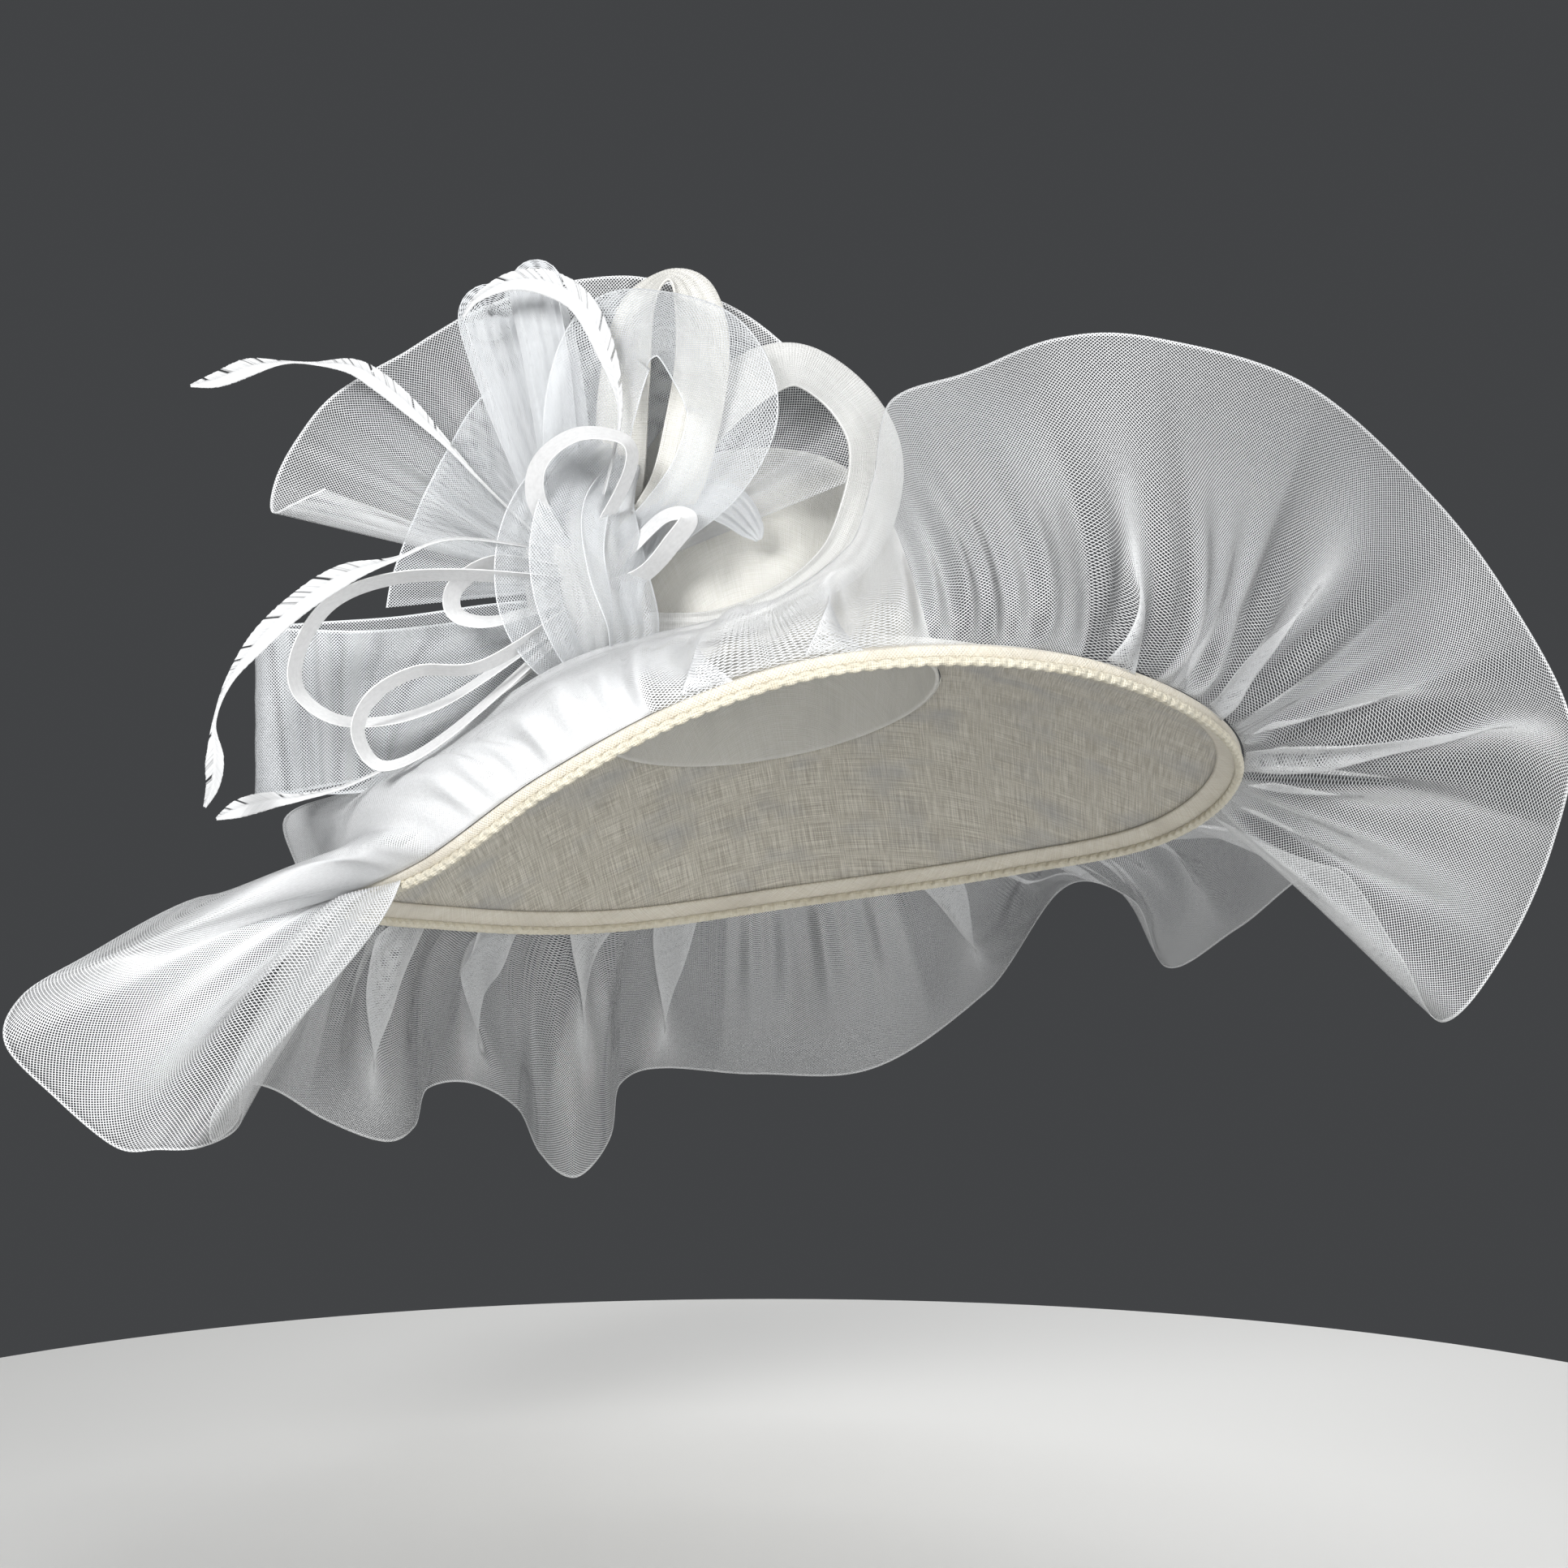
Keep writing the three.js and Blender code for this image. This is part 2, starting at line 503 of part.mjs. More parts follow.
function crownGrid(rows) {
  const grid = [];
  for (let k = 0; k < roundSteps; k += 1) {
    const angle = (360 * k) / roundSteps;
    grid.push(rows.map((row) => crownPoint(angle, row)));
  }
  return grid;
}

// The brim's middle surface: straight lines out from the crown, sinking ever faster
const brimSweep = 1.25;
const brimGap = sinamayWall + clearance;
function brimPoint(angle, share) {
  const c = Math.cos(angle * degree);
  const s = Math.sin(angle * degree);
  const start = clearance + sinamayWall / 4;
  const inner = vec((headWidth / 2 + start) * c, (headDepth / 2 + start) * s, 0);
  const outerX = (headWidth / 2 + brimReachSide) * c;
  const outerY = (headDepth / 2 + brimReachFront) * s;
  const outer = vec(outerX, outerY, 0);
  const drop = brimDrop * roundHat(rimDropTable, 'drop', angle);
  const p = inner.lerp(outer, share);
  p.z = brimGap / 2 - (drop + brimGap / 2) * share ** brimSweep;
  return p;
}

// The directions at the rim: out along the brim, square to it, and round it
const bindingShare = (2 * bindingReach) / (brimReachFront + brimReachSide);
function rimFrame(angle) {
  const edge = brimPoint(angle, 1);
  const out = edge.clone().sub(brimPoint(angle, 1 - bindingShare)).normalize();
  const round = brimPoint(angle + 1, 1).sub(brimPoint(angle - 1, 1)).normalize();
  const up = out.clone().cross(round).normalize();
  return { edge, out, up };
}

// The binding: a folded strip round the rim, its arms a clearance off the brim
const bindingInner = sinamayWall / 2 + clearance;
const bindingOuter = bindingInner + bindingWall;
const bindingCap = clearance + bindingWall;
function bindingSection(angle) {
  const { edge, out, up } = rimFrame(angle);
  const inward = brimPoint(angle, 1 - bindingShare);
  const arm = inward.sub(edge);
  const at = (reach, height, cap) => edge.clone().addScaledVector(arm, reach)
    .addScaledVector(out, cap).addScaledVector(up, height);
  return [
    at(1, bindingInner, 0),
    at(1, bindingOuter, 0),
    at(0, bindingOuter, 0),
    at(0, bindingOuter / 2, bindingCap),
    at(0, -bindingOuter / 2, bindingCap),
    at(0, -bindingOuter, 0),
    at(1, -bindingOuter, 0),
    at(1, -bindingInner, 0),
    at(0, -bindingInner, clearance),
    at(0, bindingInner, clearance),
  ];
}

// A body whose section is carried round the hat
function ringOf(section) {
  const grid = [];
  for (let k = 0; k < roundSteps; k += 1) {
    const line = section((360 * k) / roundSteps);
    grid.push([...line, line[0]]);
  }
  return toGeometry(gridSurface(grid, true));
}

// The ruffle: from the rim to the free edge each line is a smooth arc that leaves the rim at
// the table's angle, and gathers ripple it near the rim
const ruffleStart = bindingOuter + clearance + crinWall / 4;
const fading = (share) => share * (1 - share) ** gatherFade;
const swell = (share) => fading(share) / fading(1 / (1 + gatherFade));
function rufflePoint(angle, share) {
  const frame = rimFrame(angle + roundHat(ruffleTable, 'shift', angle));
  const rise = roundHat(ruffleTable, 'rise', angle) * degree;
  const leave = frame.out.clone().multiplyScalar(Math.cos(rise));
  leave.addScaledVector(frame.up, Math.sin(rise)).applyMatrix4(tilt);
  const root = worn(frame.edge).addScaledVector(leave, ruffleStart);
  const way = vec(
    roundHat(ruffleTable, 'x', angle),
    roundHat(ruffleTable, 'y', angle),
    roundHat(ruffleTable, 'z', angle),
  ).multiplyScalar(crinWidth);
  const end = worn(frame.edge).add(way);
  const first = root.clone().addScaledVector(leave, crinWidth * ruffleLeave);
  const second = end.clone().addScaledVector(way, -ruffleArrive);
  const curve = new THREE.CubicBezierCurve3(root, first, second, end);
  const point = curve.getPoint(share);
  const side = vec(-Math.sin(angle * degree), Math.cos(angle * degree), 0);
  const across = curve.getTangent(share).cross(side).normalize();
  const ripple = Math.sin(gatherCount * angle * degree) * swell(share);
  return point.addScaledVector(across, gatherDepth * ripple);
}

function ruffleGrid() {
  const grid = [];
  for (let k = 0; k < ruffleSteps; k += 1) {
    const angle = (360 * k) / ruffleSteps;
    const line = [];
    for (let j = 0; j <= ruffleRows; j += 1) {
      line.push(rufflePoint(angle, (j / ruffleRows) ** ruffleRowSpread));
    }
    grid.push(line);
  }
  return grid;
}

// The knot stands on the crown, front left
const knotRow = { height: knotRise, radius: knotSeatRadius };
const knotSeat = worn(crownPoint(knotAngle, knotRow));
const knotOut = worn(crownPoint(knotAngle, { height: 0, radius: 1 })).setZ(0).normalize();
const knot = knotSeat.clone().addScaledVector(knotOut, knotDepth * knotStandOff);

// A crumpled bundle: an egg with upright folds, grown by a margin for cutting its neighbours
function knotSurface(margin) {
  const grid = [];
  for (let k = 0; k < knotSteps; k += 1) {
    const round = (360 * k * degree) / knotSteps;
    const line = [];
    for (let j = 0; j <= knotRows; j += 1) {
      const down = (Math.PI * j) / knotRows;
      const twisted = knotFolds * round + 2 * down;
      const flat = Math.sin(down) * (1 + knotFoldDepth * Math.sin(twisted) * Math.sin(down));
      line.push(vec(
        knot.x + (knotWidth / 2 + margin) * flat * Math.cos(round),
        knot.y + (knotDepth / 2 + margin) * flat * Math.sin(round),
        knot.z + (knotHeight / 2 + margin) * Math.cos(down),
      ));
    }
    grid.push(line);
  }
  return gridSurface(grid, true);
}

// The crown as a block, grown by a margin, that the knot is cut to
function crownBlock(margin) {
  const middle = worn(vec(0, 0, 0));
  const grown = (p, j, line) => p.clone()
    .addScaledVector(vec(p.x, p.y, 0).normalize(), margin)
    .addScaledVector(vec(0, 0, 1), (margin * j) / line.length);
  const grid = crownGrid(crownTable).map((line) => [middle, ...line.map(grown).map(worn)]);
  return gridSurface(grid, true);
}

function toSolid(geometry) {
  const vertProperties = new Float32Array(geometry.getAttribute('position').array);
  const triVerts = new Uint32Array(geometry.getIndex().array);
  return new wasm.Manifold(new wasm.Mesh({ numProp: 3, vertProperties, triVerts }));
}

function fromSolid(solid) {
  const { vertProperties, triVerts } = solid.getMesh();
  const geometry = new THREE.BufferGeometry();
  geometry.setAttribute('position', new THREE.Float32BufferAttribute(vertProperties, 3));
  geometry.setIndex([...triVerts]);
  return geometry;
}

const knotCutter = toSolid(toGeometry(knotSurface(clearance)));
const crownCutter = toSolid(toGeometry(crownBlock(sinamayWall / 2 + clearance)));
const atKnot = (geometry) => fromSolid(toSolid(geometry).subtract(knotCutter));

// A fan of gathered crin behind the knot, set back from the knot's middle
function fanGeometry(rows, radius, setBack) {
  const grid = along(rows, fanStepsPerRow).map(({ at, reach, fore }) => {
    const line = [];
    for (let j = 0; j <= fanRows; j += 1) {
      const share = fanRoot + ((1 - fanRoot) * j) / fanRows;
      line.push(vec(
        knot.x + radius * reach * share * Math.cos(at * degree),
        knot.y + knotDepth * setBack - radius * fore * share,
        knot.z + radius * reach * share * Math.sin(at * degree),
      ));
    }
    return line;
  });
  return wallOf(gridSurface(grid, false), crinWall);
}

// A strip along a middle line: its width turns from the line of sight to the plane of the bow,
// or, for a strip that stands on edge, stays upright
function bandGeometry(rows, width, wall, across, upright) {
  const samples = along(rows, bandStepsPerRow);
  const middle = samples.map((s) => vec(
    knot.x + bowReach * s.right,
    knot.y - bowReach * s.fore,
    knot.z + bowReach * s.up,
  ));
  const sight = vec(0, -1, 0);
  const grid = samples.map((s, k) => {
    const before = middle[Math.max(k - 1, 0)];
    const after = middle[Math.min(k + 1, middle.length - 1)];
    const way = after.clone().sub(before).normalize();
    const flat = way.cross(sight).normalize();
    const side = upright ? vec(0, 0, 1)
      : sight.clone().multiplyScalar(Math.cos(s.turn * degree))
        .addScaledVector(flat, Math.sin(s.turn * degree));
    return across.map((share) => middle[k].clone()
      .addScaledVector(side, width * s.width * share));
  });
  return wallOf(gridSurface(grid, false), wall);
}

const ivory = { color: 0xe9e4d6, roughness: 0.85, metalness: 0 };
const cream = { color: 0xe8dfc8, roughness: 0.75, metalness: 0 };
const white = { color: 0xf4f6f8, roughness: 0.45, metalness: 0 };
const plumage = { color: 0xf7f7f2, roughness: 0.7, metalness: 0 };

const hat = new THREE.Group();
const body = new THREE.Group();
body.applyMatrix4(tilt);
hat.add(body);

function addPiece(group, name, geometry, look) {
  const piece = new THREE.Mesh(geometry, new THREE.MeshStandardMaterial(look));
  piece.name = name;
  group.add(piece);
}

addPiece(body, 'crown', wallOf(gridSurface(crownGrid(crownTable), true), sinamayWall), ivory);

const brimGrid = [];
for (let k = 0; k < roundSteps; k += 1) {
  const angle = (360 * k) / roundSteps;
  const line = [];
  for (let j = 0; j <= brimSteps; j += 1) {
    line.push(brimPoint(angle, j / brimSteps));
  }
  brimGrid.push(line);
}
addPiece(body, 'brim', wallOf(gridSurface(brimGrid, true), sinamayWall), ivory);
addPiece(body, 'brim_binding', ringOf(bindingSection), cream);
addPiece(hat, 'ruffle', wallOf(gridSurface(ruffleGrid(), true), crinWall), white);

const knotBody = toSolid(toGeometry(knotSurface(0))).subtract(crownCutter);
addPiece(hat, 'knot', fromSolid(knotBody), ivory);
addPiece(hat, 'crin_fan', atKnot(fanGeometry(fanTable, fanRadius, fanSetBack)), white);
addPiece(hat, 'crin_layer', atKnot(fanGeometry(layerTable, layerRadius, layerSetBack)), white);

const broad = [-0.5, 0, 0.5];
const narrow = [-0.5, 0.5];
const band = (name, rows, width, wall, look, across = broad, upright = false) => {
  addPiece(hat, name, atKnot(bandGeometry(rows, width, wall, across, upright)), look);
};
band('sinamay_loop_right', strapRightTable, strapWidth, strapWall, ivory);
band('sinamay_loop_top', strapTopTable, strapWidth, strapWall, ivory);
band('crin_loop_top', crinTopTable, crinLoopWidth, crinWall, white);
band('crin_pleat_left', pleatLeftTable, crinLoopWidth, crinWall, white);
band('crin_pleat_mid', pleatMidTable, crinLoopWidth, crinWall, white);
band('crin_loop_lower', crinLowerTable, lowerLoopWidth, crinWall, white, broad, true);
ribbonTables.forEach((rows, k) => {
  band(`ribbon_loop_${k + 1}`, rows, ribbonWidth, ribbonWall, white, narrow);
});
featherTables.forEach((rows, k) => {
  band(`feather_${k + 1}`, rows, featherWidth, featherWall, plumage, narrow);
});

export default hat;
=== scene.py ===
"""Looks of a wide-brimmed sinamay dress hat with a crin ruffle and a side bow, on its CAD frame.

Points and sizes are worked out in millimetres and put into the meshes in metres.
"""

import bpy
import numpy as np
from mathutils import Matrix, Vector


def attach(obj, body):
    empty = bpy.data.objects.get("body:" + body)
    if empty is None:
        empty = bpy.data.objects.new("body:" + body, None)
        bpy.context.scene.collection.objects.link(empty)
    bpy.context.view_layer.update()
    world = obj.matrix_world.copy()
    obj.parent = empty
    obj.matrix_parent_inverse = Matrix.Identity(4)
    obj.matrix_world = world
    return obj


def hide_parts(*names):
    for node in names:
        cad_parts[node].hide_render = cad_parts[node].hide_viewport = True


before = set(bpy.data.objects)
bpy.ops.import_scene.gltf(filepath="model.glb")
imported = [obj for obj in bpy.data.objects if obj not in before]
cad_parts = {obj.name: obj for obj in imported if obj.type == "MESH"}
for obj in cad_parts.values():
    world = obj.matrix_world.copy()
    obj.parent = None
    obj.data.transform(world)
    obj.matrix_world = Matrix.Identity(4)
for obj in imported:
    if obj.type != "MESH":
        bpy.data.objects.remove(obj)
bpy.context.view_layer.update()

# Crown: a dome of two plies of ivory sinamay, an open straw weave, drawn wet over a block and
# stiffened. It is stitched to the brim round the head opening.
head_width, head_depth, crown_height, sinamay_wall = 172.0, 200.0, 122.0, 2.0
sinamay_sheet = 1.8
back_tilt, side_tilt = np.radians(14.0), np.radians(10.0)
tilt = np.array([
    [np.cos(side_tilt), np.sin(side_tilt) * np.sin(back_tilt),
     -np.sin(side_tilt) * np.cos(back_tilt)],
    [0.0, np.cos(back_tilt), np.sin(back_tilt)],
    [np.sin(side_tilt), -np.cos(side_tilt) * np.sin(back_tilt),
     np.cos(side_tilt) * np.cos(back_tilt)],
])
crown_rows = np.array([  # height and radius, as shares of the crown's height and head opening
    [0, 1], [0.2, 0.985], [0.42, 0.955], [0.62, 0.91], [0.78, 0.83], [0.89, 0.7],
    [0.96, 0.5], [0.99, 0.26], [1, 0],
], float)


def smooth_through(rows, at, closed=False):
    """Cubic through a table's rows: a row's slope is half the difference of its neighbours."""
    n = len(rows)
    i = np.floor(at).astype(int)
    if not closed:
        i = np.clip(i, 0, n - 2)
    t = (at - i)[:, None]

    def row(k):
        return rows[k % n] if closed else rows[np.clip(k, 0, n - 1)]

    here, after = row(i), row(i + 1)
    leave, arrive = (after - row(i - 1)) / 2, (row(i + 2) - here) / 2
    return ((2 * t**3 - 3 * t**2 + 1) * here + (t**3 - 2 * t**2 + t) * leave
            + (3 * t**2 - 2 * t**3) * after + (t**3 - t**2) * arrive)


def lay_cloth(name, points, flat, finishes, wall, closed=False, crowding=None):
    """Mesh over a grid of points (lines, rows, xyz), with the flat cloth's own millimetres as UV
    and a wall of even thickness either side."""
    lines, rows = points.shape[:2]
    spans = lines if closed else lines - 1
    i, j = np.meshgrid(np.arange(spans), np.arange(rows - 1), indexing="ij")
    k = (i + 1) % lines
    faces = np.stack([i * rows + j, k * rows + j, k * rows + j + 1, i * rows + j + 1], axis=-1)
    mesh = bpy.data.meshes.new(name)
    mesh.from_pydata((points.reshape(-1, 3) / 1000).tolist(), [], faces.reshape(-1, 4).tolist())
    corner = np.stack([flat[i, j], flat[i + 1, j], flat[i + 1, j + 1], flat[i, j + 1]], axis=2)
    mesh.uv_layers.new(name="cloth").data.foreach_set("uv", corner.reshape(-1) / 1000)
    if crowding is not None:
        thread = mesh.attributes.new("crowding", "FLOAT", "POINT")
        thread.data.foreach_set("value", crowding.reshape(-1))
    mesh.shade_smooth()
    for finish in finishes:
        mesh.materials.append(finish)
    piece = bpy.data.objects.new(name, mesh)
    bpy.context.collection.objects.link(piece)
    if wall:
        thicken = piece.modifiers.new("wall", "SOLIDIFY")
        thicken.thickness, thicken.offset = wall / 1000, 0
        thicken.use_even_offset = False
        thicken.material_offset = len(finishes) - 1
    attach(piece, "root")
    return piece


def wire(tree, kind, settings=None, **sockets):
    """Adds a node; a socket's value is a number, a colour or another node's output."""
    node = tree.nodes.new(kind)
    for key, value in (settings or {}).items():
        setattr(node, key, value)
    for key, value in sockets.items():
        socket = node.inputs[int(key[1:]) if key[0] == "_" else key.replace("_", " ")]
        if isinstance(value, bpy.types.NodeSocket):
            tree.links.new(value, socket)
        else:
            socket.default_value = value
    return node


def start_finish(name, roughness, sheen):
    """A new material with one principled shader, and its tree."""
    finish = bpy.data.materials.new(name)
    finish.use_nodes = True
    tree = finish.node_tree
    shader = tree.nodes["Principled BSDF"]
    shader.inputs["Roughness"].default_value = roughness
    shader.inputs["Sheen Weight"].default_value = sheen
    shader.inputs["Sheen Roughness"].default_value = 0.4
    return finish, tree, shader


def straw_finish(name, light, dark, shade, hole_shade_depth, spread=0.26):
    """Sinamay: streaks of uneven straw both ways along the cloth, over a fine open grid."""
    finish, tree, shader = start_finish(name, 0.78, 0.25)
    cloth = wire(tree, "ShaderNodeUVMap", {"uv_map": "cloth"}).outputs[0]
    streaks = []
    for across, along, shift in ((1500, 38, 0.0), (38, 1500, 5.0)):
        turned = wire(tree, "ShaderNodeMapping", Vector=cloth, Scale=(across, along, 1),
                      Location=(shift, shift, shift))
        streaks.append(wire(tree, "ShaderNodeTexNoise", Vector=turned.outputs[0], Scale=1.0,
                            Detail=2.5, Roughness=0.65).outputs[0])
    straw = wire(tree, "ShaderNodeMath", {"operation": "ADD"}, _0=streaks[0], _1=streaks[1]).outputs[0]
    grid = []
    for direction in ("X", "Y"):
        grid.append(wire(tree, "ShaderNodeTexWave", {"bands_direction": direction}, Vector=cloth,
                         Scale=290.0, Distortion=1.2, Detail=1.0, Detail_Scale=30.0).outputs[1])
    holes = wire(tree, "ShaderNodeMath", {"operation": "MULTIPLY"}, _0=grid[0], _1=grid[1]).outputs[0]
    body = wire(tree, "ShaderNodeMapRange", Value=straw, From_Min=1 - spread, From_Max=1 + spread)
    colour = wire(tree, "ShaderNodeMix", {"data_type": "RGBA"}, _0=body.outputs[0], _6=dark, _7=light)
    # Soft blotches mixed towards the shade colour: painted shade where the room would show through
    # both plies.
    clouds = wire(tree, "ShaderNodeTexNoise", Vector=cloth, Scale=26.0, Detail=3.0)
    patch_shade = wire(tree, "ShaderNodeMapRange", Value=clouds.outputs[0], From_Min=0.5, From_Max=0.72,
                 To_Max=0.55)
    shaded = wire(tree, "ShaderNodeMix", {"data_type": "RGBA"}, _0=patch_shade.outputs[0],
                  _6=colour.outputs[2], _7=shade)
    # The grid's holes are darkened towards the shade colour: painted shade in the open weave, which is
    # not cut through.
    hole_shade = wire(tree, "ShaderNodeMath", {"operation": "MULTIPLY"}, _0=holes, _1=hole_shade_depth).outputs[0]
    hole_shaded = wire(tree, "ShaderNodeMix", {"data_type": "RGBA"}, _0=hole_shade, _6=shaded.outputs[2], _7=shade)
    tree.links.new(hole_shaded.outputs[2], shader.inputs["Base Color"])
    height = wire(tree, "ShaderNodeMath", {"operation": "SUBTRACT"}, _0=straw, _1=holes)
    bump = wire(tree, "ShaderNodeBump", Height=height.outputs[0], Strength=0.7, Distance=0.0005)
    tree.links.new(bump.outputs[0], shader.inputs["Normal"])
    return finish


ivory_straw = straw_finish("ivory sinamay", (0.95, 0.94, 0.90, 1), (0.82, 0.805, 0.74, 1),
                           (0.74, 0.73, 0.69, 1), 0.3)
# The underside ply: a darker beige-grey straw as painted shade under the brim, with a bluish-grey
# painted shade where the room shows through.
underside_shade_straw = straw_finish("underside shade sinamay", (0.80, 0.76, 0.66, 1), (0.40, 0.36, 0.28, 1),
                             (0.36, 0.37, 0.39, 1), 0.5, 0.19)

turns = np.linspace(0, 2 * np.pi, 193)
up_crown = smooth_through(crown_rows, np.linspace(0, 8, 73))
up_crown[-1, 1] = 0.004
crown_round = np.stack([
    (head_width - sinamay_wall) / 2 * up_crown[None, :, 1] * np.cos(turns[:-1, None]),
    (head_depth - sinamay_wall) / 2 * up_crown[None, :, 1] * np.sin(turns[:-1, None]),
    crown_height * up_crown[None, :, 0] + 0 * turns[:-1, None],
], axis=-1)
climb = np.linalg.norm(np.diff(crown_round, axis=1), axis=2).mean(axis=0)
from_top = np.concatenate([[0], np.cumsum(climb[::-1])])[::-1]
crown_flat = np.stack([from_top * np.cos(turns[:, None]), from_top * np.sin(turns[:, None])], axis=-1)
crown = lay_cloth("crown_cloth", crown_round @ tilt.T, crown_flat, [ivory_straw],
                  sinamay_sheet, closed=True)
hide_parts("crown")

# Brim: two plies of sinamay, the under one in a darker beige-grey straw that paints the shade under
# the brim, shaped as a wide dish that dips at the sides. A wire inside the binding keeps its edge.
brim_reach_side, brim_reach_front, brim_drop, clearance = 134.0, 112.0, 58.0, 0.3
brim_gap = sinamay_wall + clearance
rim_drops = np.array([  # angle round the hat, and the rim's drop as a share of brim_drop
    [-165, 1.22], [-137, 1.43], [-115, 1.12], [-96, 0.83], [-80, 0.72], [-55, 0.82], [-25, 1.1],
    [0, 1.22], [30, 1.25], [60, 1.02], [90, 0.86], [120, 0.88], [150, 0.86], [175, 1.0],
], float)


def round_hat(table, angle):
    """The columns of a table at angles round the hat, in degrees, through its rows in a ring."""
    at = table[:, 0]
    turned = at[0] + (angle - at[0]) % 360
    place = np.interp(turned, np.append(at, at[0] + 360), np.arange(len(at) + 1.0))
    return smooth_through(table[:, 1:], place, closed=True)


def brim_point(angle, share):
    """Straight lines out from the crown that sink with the share of the reach, to the power 1.25."""
    c, s = np.cos(np.radians(angle)), np.sin(np.radians(angle))
    start = clearance + sinamay_wall / 4
    drop = brim_drop * round_hat(rim_drops, angle)[:, 0]
    inner = np.stack([(head_width / 2 + start) * c, (head_depth / 2 + start) * s], axis=-1)
    outer = np.stack([(head_width / 2 + brim_reach_side) * c,
                      (head_depth / 2 + brim_reach_front) * s], axis=-1)
    level = inner[:, None] + (outer - inner)[:, None] * share[None, :, None]
    fall = brim_gap / 2 - (drop[:, None] + brim_gap / 2) * share[None, :] ** 1.25
    return np.concatenate([level, fall[..., None]], axis=-1)


around = np.linspace(0, 360, 361)
brim_grid = brim_point(around[:-1], np.linspace(0, 1, 31))
ripples = 0.35 * np.sin(np.radians(around[:-1, None] * 5 + np.linspace(0, 260, 31)))
brim_grid[..., 2] += ripples * np.sin(np.pi * np.linspace(0, 1, 31))
brim_flat = brim_point(around, np.linspace(0, 1, 31))[..., :2]
# The inner face of the wall gets the underside ply's painted shade straw.
brim = lay_cloth("brim_cloth", (brim_grid @ tilt.T)[:, ::-1], brim_flat[:, ::-1],
                 [ivory_straw, underside_shade_straw], sinamay_sheet, closed=True)
brim.modifiers["wall"].material_offset_rim = 0
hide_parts("brim")

# Binding: a bias strip folded over the brim's edge, cream, 10 mm on either face and stitched
# through. A braided straw cord is sewn along the underside of the rim.
binding_reach, binding_wall = 10.0, 1.5
binding_inner = sinamay_wall / 2 + clearance
binding_outer = binding_inner + binding_wall
binding_share = 2 * binding_reach / (brim_reach_front + brim_reach_side)


def rim_frame(angle):
    """The rim's points and the directions there: out along the brim, square to it, and round it."""
    ends = brim_point(angle, np.array([1 - binding_share, 1.0]))
    out = ends[:, 1] - ends[:, 0]
    out /= np.linalg.norm(out, axis=1, keepdims=True)
    one = np.array([1.0])
    round_it = brim_point(angle + 1, one)[:, 0] - brim_point(angle - 1, one)[:, 0]
    round_it /= np.linalg.norm(round_it, axis=1, keepdims=True)
    up = np.cross(out, round_it)
    up /= np.linalg.norm(up, axis=1, keepdims=True)
    return ends[:, 1], out, up, round_it


edge, out, up, round_it = rim_frame(around[:-1])
arm = -out * binding_reach
fold = np.linspace(np.pi / 2, -np.pi / 2, 9)
middle_height = binding_inner + binding_wall / 2
section = [(reach, middle_height + 0.12 * np.sin(np.pi * reach)) for reach in (1, 0.85, 0.5, 0.15)]
section += [(None, a) for a in fold]
section += [(reach, -middle_height - 0.12 * np.sin(np.pi * reach)) for reach in (0.15, 0.5, 0.85, 1)]
binding_lines = []
for reach, height in section:
    if reach is None:
        offset = (out * (clearance + binding_wall / 2) * np.cos(height)
                  + up * middle_height * np.sin(height))
    else:
        offset = arm * reach + up * height
    binding_lines.append(edge + offset)
binding_grid = np.stack(binding_lines, axis=1)
edge_step = np.linalg.norm(edge - np.roll(edge, -1, axis=0), axis=1)
rim_length = np.concatenate([[0], np.cumsum(edge_step)])
over = np.concatenate([[0], np.cumsum(np.linalg.norm(np.diff(binding_grid[0], axis=0), axis=1))])
on_bias = 0.7
binding_flat = np.stack(np.broadcast_arrays(
    on_bias * rim_length[:, None] + on_bias * over,
    on_bias * rim_length[:, None] - on_bias * over), axis=-1)
cream_straw = straw_finish("cream bias strip", (0.90, 0.86, 0.76, 1), (0.72, 0.66, 0.54, 1),
                           (0.62, 0.57, 0.48, 1), 0.2)
binding = lay_cloth("rim_binding", binding_grid @ tilt.T, binding_flat, [cream_straw], 1.4,
                    closed=True)
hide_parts("brim_binding")

cord_radius, plait_pitch = 2.3, 7.0
cord_angle = np.linspace(0, 360, 2001)
edge_c, out_c, up_c, round_c = rim_frame(cord_angle[:-1])
cord_middle = edge_c - up_c * (binding_outer + 0.4 * cord_radius) + out_c * cord_radius
cord_run = np.concatenate([[0], np.cumsum(np.linalg.norm(
    cord_middle - np.roll(cord_middle, -1, axis=0), axis=1))])
whole_plaits = 2 * np.pi * round(cord_run[-1] / plait_pitch) / cord_run[-1]
skin = np.linspace(0, 2 * np.pi, 13)
plait = np.maximum(np.abs(np.sin(whole_plaits * cord_run[:-1, None] / 2 + skin)),
                   np.abs(np.sin(whole_plaits * cord_run[:-1, None] / 2 - skin)))
plump = cord_radius * (0.45 + 0.6 * plait**1.5)
cord_grid = (cord_middle[:, None] + (plump * np.cos(skin))[..., None] * out_c[:, None]
             + (plump * np.sin(skin))[..., None] * up_c[:, None])
cord_flat = np.stack(np.broadcast_arrays(cord_run[:, None], skin * cord_radius), axis=-1)
gold_straw = straw_finish("plaited straw", (0.88, 0.84, 0.71, 1), (0.72, 0.66, 0.51, 1),
                          (0.60, 0.54, 0.42, 1), 0.2)
rim_cord = lay_cloth("rim_cord", cord_grid @ tilt.T, cord_flat, [gold_straw], 0, closed=True)

